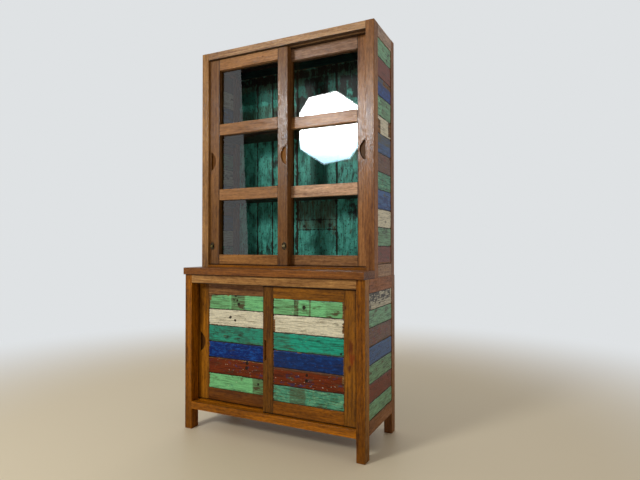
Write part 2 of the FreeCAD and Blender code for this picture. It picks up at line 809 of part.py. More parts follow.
def save_case(case, name):
    """All the fixed pieces of one case."""
    for label, solid in (("front", front_post(case)), ("back", back_post(case))):
        save(name + "_" + label + "_right_post", solid)
        save(name + "_" + label + "_left_post", mirrored(solid))
    rails = [side_rail(case, bottom_rail_z(case), 1), side_rail(case, top_rail_z(case), -1)]
    planks = side_plank_set(case)
    save(name + "_right_side_rails", rails)
    save(name + "_left_side_rails", [mirrored(solid) for solid in rails])
    save(name + "_right_side_planks", planks)
    save(name + "_left_side_planks", [mirrored(solid) for solid in planks])
    save(name + "_back_rails", [back_rail(case, bottom_rail_z(case), 1), back_rail(case, top_rail_z(case), -1)])
    save(name + "_back_boards", back_board_set(case))
    save(name + "_sill", sill(case))
    save(name + "_head", head(case))
    save(name + "_floor_board", floor_board(case, floor_z(case)))
    save(name + "_top_board", floor_board(case, case.z_top_board))


def save_shelves(case, name, heights):
    """The shelves of one case and the cleats they lie on."""
    right = [shelf_cleat(case, z) for z in heights]
    save(name + "_shelf_cleats", right + [mirrored(solid) for solid in right])
    save(name + ("_shelf" if len(heights) == 1 else "_shelves"), [shelf(case, z) for z in heights])


def save_glass_door(door, name, pulls, locks=(), socket_holes=()):
    """A glazed door: stiles, rails, panes and beads."""
    pockets = glass_pockets(door)
    save(name + "_outer_stile", door_stile(door, door.side, pockets, pulls, locks))
    save(name + "_meeting_stile", door_stile(door, -door.side, pockets + list(socket_holes), pulls, locks))
    rails = [door_rail(door, index, pockets) for index in range(len(door.rails))]
    save(name + "_end_rails", [rails[0], rails[-1]])
    save(name + "_middle_rails", rails[1:-1])
    save(name + "_panes", glass_panes(door))
    save(name + "_glazing_beads", glazing_beads(door))


def save_plank_door(door, name, pulls):
    """A plank door: stiles, rails and planks."""
    grooves = plank_grooves(door)
    save(name + "_outer_stile", door_stile(door, door.side, grooves, pulls))
    save(name + "_meeting_stile", door_stile(door, -door.side, grooves, pulls))
    save(name + "_rails", [door_rail(door, index, grooves) for index in range(len(door.rails))])
    save(name + "_planks", door_plank_set(door))


def main():
    os.makedirs("parts", exist_ok=True)
    save_case(lower, "lower")
    save_case(upper, "upper")
    save_shelves(lower, "lower", [lower_shelf_height])
    save_shelves(upper, "upper", upper_shelf_heights())
    save("counter_strip", counter_strip())
    save("counter_strip_screws", [counter_screw(x) for x in counter_screw_places()])
    save("case_dowels", dowels())
    jambs = [jamb_strip(lower), jamb_strip(upper)]
    save("jamb_strips", jambs + [mirrored(solid) for solid in jambs])
    glass_left = Door(upper, -1, front_door_offset, glass_door_rails())
    glass_right = Door(upper, 1, rear_door_offset, glass_door_rails())
    plank_left = Door(lower, -1, rear_door_offset, plank_door_rails())
    plank_right = Door(lower, 1, front_door_offset, plank_door_rails())
    save_glass_door(glass_left, "glass_left_door", pulls={-1: pull_edge_inset, 1: pull_edge_inset},
                    locks=(-1, 1))
    socket_hole = lock_socket(glass_left, glass_right, lock_socket_fit, bored=False)
    save_glass_door(glass_right, "glass_right_door", pulls={1: rear_pull_edge_inset}, socket_holes=(socket_hole,))
    save_plank_door(plank_left, "plank_left_door", pulls={-1: pull_edge_inset})
    save_plank_door(plank_right, "plank_right_door", pulls={-1: pull_edge_inset})
    save("lock_plates", [lock_plate(glass_left, -1), lock_plate(glass_left, 1)])
    save("meeting_lock_socket", lock_socket(glass_left, glass_right))
    save("outer_lock_screw", lock_screw(glass_left, -1))
    save("meeting_lock_screw", lock_screw(glass_left, 1))


main()
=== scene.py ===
"""The looks of a two-stage kitchen cabinet: varnished frames, planks of old painted boat timber, thin glass.

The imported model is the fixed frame, in metres, with the floor at z 0 and the doors facing -Y. The frame
members, panes, shelves and locks keep their own meshes and get materials. The painted planks and boards are
modelled here, one piece each, in the places of the planks that the frame holds.
"""
import math
import random
from functools import partial
from itertools import accumulate

import bmesh
import bpy
from bpy.props import FloatProperty, FloatVectorProperty, PointerProperty
from mathutils import Matrix, Vector, noise


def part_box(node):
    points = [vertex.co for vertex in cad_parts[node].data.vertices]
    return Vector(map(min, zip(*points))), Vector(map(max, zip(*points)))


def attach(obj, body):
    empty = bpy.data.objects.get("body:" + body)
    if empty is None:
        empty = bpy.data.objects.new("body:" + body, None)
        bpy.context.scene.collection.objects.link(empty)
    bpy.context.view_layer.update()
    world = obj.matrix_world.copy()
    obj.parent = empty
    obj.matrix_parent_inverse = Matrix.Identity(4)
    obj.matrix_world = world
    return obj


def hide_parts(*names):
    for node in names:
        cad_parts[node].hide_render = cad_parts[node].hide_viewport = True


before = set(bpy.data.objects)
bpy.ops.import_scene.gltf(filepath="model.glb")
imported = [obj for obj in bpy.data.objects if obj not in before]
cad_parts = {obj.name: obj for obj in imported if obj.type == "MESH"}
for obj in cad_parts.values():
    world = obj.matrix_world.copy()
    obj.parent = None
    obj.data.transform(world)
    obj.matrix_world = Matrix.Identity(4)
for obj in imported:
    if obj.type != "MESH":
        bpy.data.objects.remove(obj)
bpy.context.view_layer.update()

bl_info = {
    "name": "Mizuya kitchen cabinet",
    "version": (1, 0, 0),
    "blender": (4, 5, 0),
    "location": "3D View > Sidebar > Cabinet",
    "description": "Finishes and painted planks of a two-stage kitchen cabinet",
    "category": "Object",
}

MM = 0.001
AXES = {"x": 0, "y": 1, "z": 2}
WHITE = (1.0, 1.0, 1.0, 1.0)


def linear(code):
    """An sRGB hex colour as the linear values that shaders take, with an alpha of 1."""
    parts = [int(code[i:i + 2], 16) / 255 for i in (1, 3, 5)]
    return (*(p / 12.92 if p <= 0.04045 else ((p + 0.055) / 1.055) ** 2.4 for p in parts), 1.0)


def darker(shade, share):
    """A linear colour with its light scaled to a share."""
    return (*(part * share for part in shade[:3]), 1.0)


def number(name, default, description, **kind):
    """A number setting, or a vector one where its default is a tuple."""
    make = FloatVectorProperty if isinstance(default, tuple) else FloatProperty
    return make(name=name, default=default, description=description, **kind)


def colour(name, code, description):
    """A colour setting, given as an sRGB hex value."""
    return number(name, linear(code), description, subtype="COLOR", size=4, min=0.0, max=1.0)


def length(name, millimetres, description):
    """A length setting, given in millimetres."""
    return number(name, millimetres * MM, description, unit="LENGTH", min=0.0)


# ---- Settings ----

POINT = {"subtype": "TRANSLATION", "unit": "LENGTH"}
ANGLE = {"subtype": "ANGLE"}
# Each tone of the frames: its pale early wood, its dark late wood, and where it is
TONES = {
    "honey": ("#ad7c43", "#5c3615", "upper front"),
    "copper": ("#b27b46", "#5c3517", "glass doors' rails"),
    "drab": ("#936335", "#4a2910", "glass doors' stiles"),
    "umber": ("#925910", "#3c1f03", "plank doors"),
    "amber": ("#b1670a", "#4b2502", "lower front"),
    "russet": ("#a36225", "#4e270b", "counter strip"),
    "plum": ("#8a5932", "#422510", "sides"),
    # The back rails' teal is darkened beyond the back boards' paint as painted shade
    "moss": ("#1f463a", "#0b1a16", "back rails, painted"),
    "smoke": ("#5a4430", "#241810", "inner boards"),
}


class CabinetWoods(bpy.types.PropertyGroup):
    """Colours of the bare and varnished wood."""
    bare_light: colour("Bare wood, pale", "#96683a", "Old timber where the paint has gone")
    bare_dark: colour("Bare wood, dark", "#3a2412", "Old timber in cracks and hollows")
    rubbed: colour("Rubbed paint", "#4c452a", "Thin paint over timber, brown with varnish")
    knot: colour("Knot", "#7a3008", "Red-brown heart of a knot")
    inner: colour("Inner faces", "#1c272e", "Dark slate wash on the planks' inner faces")


for tone, (*codes, where) in TONES.items():
    for part, code in zip(("light", "dark"), codes):
        CabinetWoods.__annotations__[tone + "_" + part] = colour(
            tone.title() + ", " + part, code, "The " + part + " grain of the " + where)


class CabinetPaints(bpy.types.PropertyGroup):
    """Colours of the old boat paints."""
    leaf: colour("Leaf green", "#74b878", "Pale green gloss paint")
    sage: colour("Sage green", "#7bad82", "Greyer green paint of the sides")
    sea: colour("Sea green", "#47886a", "Mottled green paint")
    cream: colour("Cream", "#d3c7aa", "Off-white paint")
    teal: colour("Teal", "#1e9679", "Blue-green paint")
    blue: colour("Royal blue", "#00205f", "Deep blue paint")
    navy: colour("Navy blue", "#0b2656", "Dull deep blue paint")
    slate: colour("Slate blue", "#33588a", "Faded blue paint")
    rust: colour("Rust red", "#6a2600", "Red-brown primer")
    plum: colour("Plum brown", "#71331e", "Faded red-brown paint")
    earth: colour("Earth brown", "#694730", "Grey-brown paint")
    lagoon: colour("Lagoon green", "#54b09c", "Paint inside the glass case")
    pine: colour("Pine green", "#1f5a4b", "Dark patches in the lagoon green")
    azure: colour("Azure", "#0f4c98", "Brighter spots in the royal blue")
    indigo: colour("Indigo", "#332f52", "Blue patches in the rust red")
    tar: colour("Tar", "#241a19", "Dark flakes on the lagoon green")


class CabinetBoards(bpy.types.PropertyGroup):
    """Sizes of the painted planks' surface."""
    cell: length("Mesh cell", 4.0, "Spacing of a plank's mesh points")
    board_cell: length("Back board cell", 8.0, "Spacing of a back board's mesh points")
    arris: length("Worn arris", 2.4, "How far a long edge is worn down")
    arris_width: length("Worn arris width", 6.0, "How far in from a long edge the wear reaches")
    back_arris: length("Back arris", 1.0, "How far a long edge of a plank's back is worn down")
    undulation: length("Undulation", 0.5, "Height of the slow waves that hand planing left")
    nail_depth: length("Nail pit depth", 3.0, "How deep an old nail hole goes")
    tongue_length: length("Tongue length", 7.0, "How far a plank's tongue goes into the frame")
    tongue_layer: length("Tongue layer", 8.0, "Thickness of a plank's tongue")


class CabinetStage(bpy.types.PropertyGroup):
    """The studio: camera, lamps and floor."""
    camera_place: number("Camera place", (1.109, -1.968, 0.854), "Where the camera stands", **POINT)
    camera_turn: number("Camera turn", 0.4481, "Turn to the left of +Y", **ANGLE)
    camera_lift: number("Camera lift", 0.0121, "Tilt above level", **ANGLE)
    camera_lens: number("Lens", 27.12, "Focal length on a 36 mm wide sensor", unit="CAMERA")
    softbox_place: number("Softbox place", (-1.275, -3.27, 2.255), "Middle of the softbox", **POINT)
    softbox_radius: length("Softbox radius", 446.0, "Middle of the softbox to a corner")
    softbox_turn: number("Softbox turn", math.radians(11.0), "Turn of the softbox about its axis", **ANGLE)
    softbox_rim: number("Softbox rim", 0.09, "Share of the softbox that dims to its edge")
    softbox_light: number("Softbox light", 49.5, "Radiance of the softbox")
    softbox_foot: colour("Softbox foot", "#bce8fc", "Tint of the softbox's lower part")
    sky_light: number("Room light", 0.42, "Strength of the even room light")
    fill_place: number("Fill place", (-1.2, 3.6, 2.6), "Middle of the weak lamp behind", **POINT)
    fill_width: length("Fill width", 2000.0, "Side of the square lamp behind")
    fill_light: number("Fill light", 1.6, "Radiance of the lamp behind")
    flag_edge: number("Flag edge", (-3.22, -4.4, 2.2), "Middle of the dark flag's left edge", **POINT)
    flag_size: length("Flag size", 9000.0, "Side of the square dark flag")
    flag_lean: number("Flag lean", -0.049, "How far the flag's edge leans", **ANGLE)
    flag_tone: colour("Flag tone", "#151515", "What the dark flag gives back")
    backdrop: colour("Backdrop", "#dfe2e4", "Pale backdrop round the floor")
    floor: colour("Floor", "#e2cfae", "Plain pale floor")


# ---- Shader building ----

def add(tree, kind, *inputs, out=0, **settings):
    """Add one shader node with its settings and links, and give back one of its outputs, if it has any.

    Its inputs come in the order of its sockets, or as one dict by a socket's name or number.
    """
    if not inputs or not isinstance(inputs[0], dict):
        inputs = (dict(enumerate(inputs)),)
    made = tree.nodes.new("ShaderNode" + kind)
    for name, value in settings.items():
        setattr(made, name, value)
    for socket, value in inputs[0].items():
        if isinstance(value, bpy.types.NodeSocket):
            tree.links.new(value, made.inputs[socket])
        else:
            made.inputs[socket].default_value = value
    return made.outputs[out] if made.outputs else None


def new_material(name):
    """An empty node material and the call that adds nodes to it."""
    material = bpy.data.materials.new(name)
    material.use_nodes = True
    material.node_tree.nodes.clear()
    return material, partial(add, material.node_tree)


# Node settings that the materials share: a soft step, a mix and a product of colours, a sum and a length
SOFT_STEP = {"interpolation_type": "SMOOTHSTEP"}
COLOURS = {"data_type": "RGBA", "out": 2}
MULTIPLIED = {"data_type": "RGBA", "out": 2, "blend_type": "MULTIPLY"}
WEIGHTED = {"operation": "MULTIPLY_ADD"}
LENGTH = {"operation": "LENGTH", "out": "Value"}


def figure(node, place, axis, across, along, seed=0.0, detail=3.0, distortion=0.0):
    """Noise drawn out along the grain: its figure is across wide and along long, in millimetres."""
    scale = [1 / (across * MM)] * 3
    scale[axis] = 1 / (along * MM)
    place = node("Mapping", {"Vector": place, "Location": (seed, 1.7 * seed, 2.3 * seed), "Scale": scale})
    return node("TexNoise", {
        "Vector": place, "Scale": 1.0, "Detail": detail, "Roughness": 0.55, "Distortion": distortion})


# ---- Materials ----

GROWTH_BAND = 11 * MM
PALE_SIDES = (1.18, 1.18, 1.18, 1.0)
KNOT_SQUASH = 0.45
# The share of its light that wood keeps in end grain and hollows
SHADED = 0.55


def varnished_teak(name, axis, light, dark, centre, seed, streaky, gloss, knots, pockets, shade_tone_highlight_bands):
    """Reclaimed teak, planed and brushed with satin varnish.

    It shows growth bands about 11 mm apart round a pith beside the member, dark streaks, short pores, darker
    end grain and fibres that are drawn 2.2 mm wide, coarser than the real 0.3 mm so that they show. The
    varnish has pooled unevenly, so its clear highlight is broken up. Faces that look sideways are paler and
    matt.
    knots are (place, size, colour), pockets are (place, pale colour), where a finger pull is hollowed and its
    colour is darkened, partly as painted shade, and the bands are (axis, place, reach, strength, tint), which
    multiply the wood's colour: painted shade in gaps and under edges, painted highlights and sheen, and tone
    that is lighter, darker or warmer.
    """
    chance = random.Random(seed)
    material, node = new_material(name)
    place = node("TexCoord", out="Object")
    offset = [chance.uniform(70, 130) * chance.choice((-1, 1)) * MM for _ in range(3)]
    pith = [-(middle + shift) for middle, shift in zip(centre, offset)]
    pith[axis] = 0.0
    flat = [1.0, 1.0, 1.0]
    flat[axis] = 0.0
    wander, fibres, streaks, mottle, broad, pores, specks = (
        figure(node, place, axis, across, along, seed + shift, detail)
        for across, along, shift, detail in (
            (60, 420, 0, 2.0), (2.2, 55, 3, 4.0), (8, 190, 5, 3.0), (8, 22, 7, 4.0), (60, 300, 9, 2.0),
            (1.8, 18, 11, 1.0), (4.2, 8, 13, 3.0)))
    radial = node("Mapping", {"Vector": place, "Location": pith, "Scale": flat})
    radius = node("VectorMath", radial, **LENGTH)
    # The wander is worth four bands
    turns = node("Math", radius, 1 / (4 * GROWTH_BAND), wander, **WEIGHTED)
    phase = node("Math", turns, 4 * 2 * math.pi, operation="MULTIPLY")
    bands = node("Math", phase, operation="SINE")
    layers = ((fibres, 1.1), (streaks, 1.05 * streaky), (mottle, 0.9), (broad, 1.0))
    tone = 0.5 - sum(share for _, share in layers) / 2
    for layer, share in (*layers, (bands, 0.05)):
        tone = node("Math", layer, share, tone, **WEIGHTED)
    tone = node("Math", tone, 0.0, operation="ADD", use_clamp=True)
    pores = node("MapRange", pores, 0.56, 0.68, 0.0, 0.5, **SOFT_STEP)
    # Faces that look along the grain show end grain, and those that look sideways are pale
    facings = []
    for way, most in ((axis, 0.45), (0, 1.0)):
        facing = node("SeparateXYZ", node("TexCoord", out="Normal"), out=way)
        facing = node("Math", facing, operation="ABSOLUTE")
        facings.append(node("MapRange", facing, 0.6, 0.9, 0.0, most, **SOFT_STEP))
    end_grain, sideways = facings
    wood = light
    for share, shade in ((tone, dark), (pores, dark), (end_grain, darker(dark, SHADED))):
        wood = node("Mix", {0: share, 6: wood, 7: shade}, **COLOURS)
    wood = node("Mix", {0: sideways, 6: wood, 7: PALE_SIDES}, **MULTIPLIED)
    squash = [1.0, 1.0, 1.0]
    squash[axis] = KNOT_SQUASH
    for knot_place, size, knot_colour in knots:
        away = node("VectorMath", place, knot_place, operation="SUBTRACT")
        away = node("VectorMath", away, squash, operation="MULTIPLY")
        away = node("VectorMath", away, **LENGTH)
        ragged = node("Math", mottle, 2.4 * size, away, **WEIGHTED)
        heart = node("MapRange", ragged, 1.4 * size, 2.6 * size, 0.85, 0.0, **SOFT_STEP)
        wood = node("Mix", {0: heart, 6: wood, 7: knot_colour}, **COLOURS)
    # Bands that multiply the wood's colour: painted shade in gaps and under edges, painted highlights and
    # sheen, and warmer, darker or lighter tone
    for band_axis, band_place, reach, strength, band_tint in shade_tone_highlight_bands:
        away = node("SeparateXYZ", place, out=band_axis)
        away = node("Math", away, band_place, operation="SUBTRACT")
        away = node("Math", away, operation="ABSOLUTE")
        line = node("MapRange", away, 0.3 * reach, reach, strength, 0.0, **SOFT_STEP)
        wood = node("Mix", {0: line, 6: wood, 7: band_tint}, **MULTIPLIED)
    open_face = 1.0
    # A finger pull's hollow takes its own darker colour, partly painted shade, and loses its clear coat
    for pocket_place, pale in pockets:
        near = node("VectorMath", place, pocket_place, operation="SUBTRACT")
        near = node("VectorMath", near, PULL_HALF, operation="DIVIDE")
        for _ in range(2):
            near = node("VectorMath", near, near, operation="MULTIPLY")
        near = node("VectorMath", near, near, operation="DOT_PRODUCT", out="Value")
        near = node("MapRange", near, 0.95, 1.2, 0.95, 0.0, **SOFT_STEP)
        hollow = node("Mix", {0: tone, 6: pale, 7: darker(pale, SHADED)}, **COLOURS)
        wood = node("Mix", {0: near, 6: wood, 7: hollow}, **COLOURS)
        open_face = node("Math", near, -1.2, open_face, use_clamp=True, **WEIGHTED)
    rough = node("MapRange", mottle, 0.35, 0.65, 0.36, 0.52)
    pooled = node("MapRange", specks, 0.42, 0.58, 2.3 * gloss, 0.15 * gloss, **SOFT_STEP)
    brushed = node("Math", sideways, -0.95, 1.0, **WEIGHTED)
    for share in (brushed, open_face):
        pooled = node("Math", pooled, share, operation="MULTIPLY")
    relief = 0.0
    for layer, height in ((fibres, -0.5), (specks, -0.4), (pores, -0.5)):
        relief = node("Math", layer, height, relief, **WEIGHTED)
    normal = node("Bump", {"Height": relief, "Distance": 0.6 * MM, "Strength": 0.6})
    surface = node("BsdfPrincipled", {
        "Base Color": wood, "Roughness": rough, "Normal": normal, "Specular IOR Level": 0.09,
        "Coat Weight": pooled, "Coat Roughness": 0.21, "Coat Normal": normal})
    node("OutputMaterial", {"Surface": surface})
    return material


PLANK_LAYERS = ("worn", "stain", "tint", "rubbed", "inner")
BRUSH_LINE = (0.25, 0.22, 0.16, 1.0)
# Pale grit specks in the paint are painted glints
PAINTED_GLINT = (1.5, 1.5, 1.4, 1.0)


def boat_paint(name, axis, paint, second, fleck, woods, amounts, seed):
    """Old boat timber under brushed enamel that has weathered and been varnished over.

    It has clouds of a second colour, brush and grain lines 3 mm apart, brown smudges, cracks along the grain
    and chips down to the timber, and pale specks in its grit that are painted glints. The attributes say
    where it
    differs: worn has lost its paint; the stain layer is dark, from real stains and, on the back boards, from
    painted shade under the top and at the shelves; tint has the second colour, which at the back boards'
    heads is painted shade; the rubbed layer is thin and brown, and at the back boards' heads is painted shade
    too; inner is the washed back. amounts are the clouds' share, softness and size in millimetres, and the
    shares of flecks, lines and smudges.
    """
    clouded, softness, cloud_size, flecked, lined, smudged = amounts
    material, node = new_material(name)
    place = node("TexCoord", out="Object")
    worn, stain, tint, rubbed, inner = (node("Attribute", out="Fac", attribute_name=kind)
                                        for kind in PLANK_LAYERS)
    clouds = figure(node, place, axis, cloud_size, 2.2 * cloud_size, seed, detail=5.0, distortion=0.4)
    cracks = figure(node, place, axis, 5.0, 140, seed + 8, detail=3.0, distortion=0.3)
    lines, grit, specks, smudge, patchy = (
        figure(node, place, axis, across, along, seed + shift, detail)
        for across, along, shift, detail in (
            (3.0, 70, 2, 4.0), (4.5, 9, 4, 3.0), (8.0, 14, 6, 2.0), (26, 70, 10, 5.0), (30, 90, 12, 3.0)))
    # Paint: clouds of the second colour, flecks, darker lines, and pale grit specks that are painted glints
    cloudy = node("Math", tint, 0.35, clouds, **WEIGHTED)
    edge = 0.75 - 0.4 * clouded
    cloudy = node("MapRange", cloudy, edge - softness / 2, edge + softness / 2, 0.0, 0.85, **SOFT_STEP)
    edge = 0.74 - 0.25 * flecked
    flecks = node("MapRange", specks, edge, edge + 0.05, 0.0, 0.85, **SOFT_STEP)
    shown = paint
    for share, shade in ((cloudy, second), (flecks, fleck)):
        shown = node("Mix", {0: share, 6: shown, 7: shade}, **COLOURS)
    streaky = node("MapRange", lines, 0.47, 0.66, 0.0, lined, **SOFT_STEP)
    bright = node("MapRange", grit, 0.38, 0.55, 0.35, 0.0, **SOFT_STEP)
    for share, shade in ((streaky, BRUSH_LINE), (bright, PAINTED_GLINT)):
        shown = node("Mix", {0: share, 6: shown, 7: shade}, **MULTIPLIED)
    # Brown where the paint is thin, in smudges and in the rubbed stretches, which at the back boards' heads
    # are painted shade
    edge = 0.66 - 0.2 * smudged
    browned = node("MapRange", smudge, edge, edge + 0.12, 0.0, 0.75, **SOFT_STEP)
    thin = node("MapRange", lines, 0.35, 0.6, 0.5, 1.0, **SOFT_STEP)
    browned = node("Math", rubbed, thin, browned, use_clamp=True, **WEIGHTED)
    # Bare timber in the chips
    veins = node("MapRange", lines, 0.38, 0.62, **SOFT_STEP)
    wood = node("Mix", {0: veins, 6: woods.bare_light, 7: woods.bare_dark}, **COLOURS)
    chipped = worn
    for layer, share in ((grit, 0.6), (lines, 0.4)):
        chipped = node("Math", layer, share, chipped, **WEIGHTED)
    chipped = node("MapRange", chipped, 0.93, 1.03, **SOFT_STEP)
    # Cracks along the grain, in some stretches only
    cracks = node("Math", cracks, 0.5, operation="SUBTRACT")
    cracks = node("Math", cracks, operation="ABSOLUTE")
    cracks = node("MapRange", cracks, 0.003, 0.015, 0.8, 0.0, **SOFT_STEP)
    patchy = node("MapRange", patchy, 0.46, 0.58, **SOFT_STEP)
    cracks = node("Math", cracks, patchy, operation="MULTIPLY")
    # Dark stains, and painted shade on the back boards under the top and at the shelves, ragged with the
    # clouds
    stain_and_shade_mask = stain
    for layer, share in ((lines, 0.4), (grit, 0.4), (clouds, 0.8)):
        stain_and_shade_mask = node("Math", layer, share, stain_and_shade_mask, **WEIGHTED)
    stain_and_shade_mask = node("MapRange", stain_and_shade_mask, 1.09, 1.27, 0.0, 0.95, **SOFT_STEP)
    washed = node("Math", inner, 0.32, operation="MULTIPLY")
    for share, shade in ((browned, woods.rubbed), (chipped, wood), (cracks, woods.bare_dark),
                         (stain_and_shade_mask, darker(woods.bare_dark, 0.35)), (washed, woods.inner)):
        shown = node("Mix", {0: share, 6: shown, 7: shade}, **COLOURS)
    rough = 0.36
    for layer, share in ((chipped, 0.2), (grit, 0.16)):
        rough = node("Math", layer, share, rough, **WEIGHTED)
    relief = 0.0
    for layer, height in ((lines, -0.4), (chipped, -0.6), (cracks, -0.9), (grit, 0.4)):
        relief = node("Math", layer, height, relief, **WEIGHTED)
    normal = node("Bump", {"Height": relief, "Distance": 0.7 * MM, "Strength": 0.7})
    surface = node("BsdfPrincipled", {
        "Base Color": shown, "Roughness": rough, "Normal": normal, "Specular IOR Level": 0.15,
        "Coat Weight": 0.04, "Coat Roughness": 0.3})
    node("OutputMaterial", {"Surface": surface})
    return material


def float_glass(name):
    """Clear 3 mm float glass: it lets light straight through and mirrors more towards a grazing view.

    Only the faces that look out of the pane mirror, for both of its surfaces, so that it stays clear inside.
    """
    material, node = new_material(name)
    mirrored = node("Fresnel", {"IOR": 1.52})
    outward = node("NewGeometry", out="Backfacing")
    outward = node("Math", 1.0, outward, operation="SUBTRACT")
    both = node("Math", mirrored, outward, operation="MULTIPLY")
    both = node("Math", both, 1.8, operation="MULTIPLY", use_clamp=True)
    clear = node("BsdfTransparent", {"Color": (0.97, 0.985, 0.98, 1.0)})
    gloss = node("BsdfGlossy", {"Color": WHITE, "Roughness": 0.01})
    surface = node("MixShader", both, clear, gloss)
    node("OutputMaterial", {"Surface": surface})
    return material


def aged_metal(name, bright, dull, roughness):
    """Brass or steel with a brown patina: bright where fingers rub, dull and rougher in the other patches."""
    material, node = new_material(name)
    patches = figure(node, node("TexCoord", out="Object"), 0, 3.0, 3.0, 5.0, detail=4.0)
    patina = node("MapRange", patches, 0.42, 0.62, **SOFT_STEP)
    tone = node("Mix", {0: patina, 6: linear(bright), 7: linear(dull)}, **COLOURS)
    rough = node("Math", patina, 0.22, roughness, **WEIGHTED)
    normal = node("Bump", {"Height": patches, "Distance": 0.15 * MM, "Strength": 0.4})
    surface = node("BsdfPrincipled", {
        "Base Color": tone, "Roughness": rough, "Normal": normal, "Metallic": 1.0})
    node("OutputMaterial", {"Surface": surface})
    return material


SEED_LIMIT = 997


def finish(node, material):
    """Give a frame node its material."""
    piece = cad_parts[node]
    piece.data.materials.clear()
    piece.data.materials.append(material)


def varnish(node, grain, tone, depth=1.0, gloss=0.1, streaky=1.0, slot="oiled_hardwood", pulls=(), knots=(),
            grime=(), aged=()):
    """Finish one frame node in varnished teak: its look and marks are as member() gives them."""
    woods = bpy.context.scene.cabinet_woods
    low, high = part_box(node)
    light, dark = (darker(getattr(woods, tone + part), depth) for part in ("_light", "_dark"))
    seed = sum(ord(letter) * (place + 1) for place, letter in enumerate(node)) % SEED_LIMIT
    # A pull's hollow colour is darkened by its share, partly as painted shade in the hollow
    pockets = [(Vector(place) * MM, darker(getattr(woods, hollow + "_light"), share))
               for place, hollow, share in pulls]
    knots = [(Vector(place) * MM, size * MM, darker(woods.knot, share)) for place, size, share in knots]
    # Shade lines are painted shade, multiplied in with the near-black painted shade tint
    shade_tone_highlight_bands = [(*seam, PAINTED_SHADE_TINT) for seam in grime] + [(*band[:3], 1.0, band[3]) for band in aged]
    shade_tone_highlight_bands = [(AXES[letter], place * MM, reach * MM, strength, (*tint, 1.0))
              for letter, place, reach, strength, tint in shade_tone_highlight_bands]
    material = varnished_teak("varnished_teak_" + node, AXES[grain], light, dark, (low + high) / 2, seed,
                              streaky, gloss, knots, pockets, shade_tone_highlight_bands)
    finish(node, material)


# ---- Painted planks ----

SHARP_ANGLE = math.radians(50)
# The least cosine between a face's normal and the way it looks
SAME_WAY = 0.9
WEAR_SHIFT = 50.0
BACK_SEED = 500
HAIR = 0.01 * MM
MARK_EDGE = 5 * MM


def oblong(width, height, columns=1, rows=1):
    """A bmesh with a level rectangle, cut into columns and rows."""
    mesh = bmesh.new()
    bmesh.ops.create_grid(mesh, x_segments=columns, y_segments=rows, size=0.5)
    bmesh.ops.scale(mesh, vec=(width, height, 1.0), verts=mesh.verts)
    return mesh


def mesh_object(name, mesh):
    """Turn a bmesh into an object of the scene."""
    data = bpy.data.meshes.new(name)
    mesh.to_mesh(data)
    mesh.free()
    made = bpy.data.objects.new(name, data)
    bpy.context.scene.collection.objects.link(made)
    return made


def push_out(mesh, faces, shift):
    """Extrude faces by a shift, and give back the faces at the new end."""
    grown = bmesh.ops.extrude_face_region(mesh, geom=faces)["geom"]
    points = [part for part in grown if isinstance(part, bmesh.types.BMVert)]
    bmesh.ops.translate(mesh, vec=shift, verts=points)
    return [part for part in grown if isinstance(part, bmesh.types.BMFace)]


def plank(name, size, cells, place, sides, marks, nails, seed):
    """Model one plank from its length, width and thickness, in metres, and put it in its place.

    The plank lies along local x, its face looks along local z. place is the matrix to the frame. sides says
    which of its long sides, low and high, have a tongue too. marks and nails are as old_plank() gives them.
    """
    boards = bpy.context.scene.cabinet_boards
    along, across, thick = size
    mesh = oblong(along, across, *(max(2, round(extent / cells)) for extent in (along, across)))
    layers = {kind: mesh.verts.layers.float.new(kind) for kind in PLANK_LAYERS}
    bmesh.ops.translate(mesh, vec=(0, 0, -thick), verts=mesh.verts)
    back = list(mesh.verts)
    outer = (thick - boards.tongue_layer) / 2
    face = push_out(mesh, mesh.faces[:], (0, 0, outer))
    known = set(mesh.faces)
    face = push_out(mesh, face, (0, 0, boards.tongue_layer))
    edges = [side for side in mesh.faces if side not in known and side not in face]
    face = push_out(mesh, face, (0, 0, outer))
    mesh.normal_update()
    # Each point once, in the same order on each run
    front = list(dict.fromkeys(point for part in face for point in part.verts))
    wear_plank(layers, front, along, across, marks, nails, seed)
    chance = random.Random(seed + BACK_SEED)
    tones = (chance.uniform(0.0, 0.5), chance.uniform(0.0, 0.7))
    for point in back:
        point[layers["inner"]] = 1.0
        point[layers["tint"]], point[layers["rubbed"]] = tones
        if across / 2 - abs(point.co.y) < HAIR:
            point[layers["stain"]] = 0.7
            point.co.z += boards.back_arris
    for direction in [Vector((-1, 0, 0)), Vector((1, 0, 0))] + [Vector((0, way, 0)) for way in sides]:
        strip = [side for side in edges if side.is_valid and side.normal.dot(direction) > SAME_WAY]
        push_out(mesh, strip, direction * boards.tongue_length)
    bmesh.ops.recalc_face_normals(mesh, faces=mesh.faces)
    bmesh.ops.transform(mesh, matrix=place, verts=mesh.verts)
    piece = mesh_object(name, mesh)
    piece.data.shade_smooth()
    piece.data.set_sharp_from_angle(angle=SHARP_ANGLE)
    return piece


def inside(value, low, high, soft):
    """How far a value lies in a stretch, from 0 outside to 1 inside, with soft ends."""
    rise = min(1.0, max(0.0, (value - low) / soft + 0.5))
    fall = min(1.0, max(0.0, (high - value) / soft + 0.5))
    return min(rise, fall)


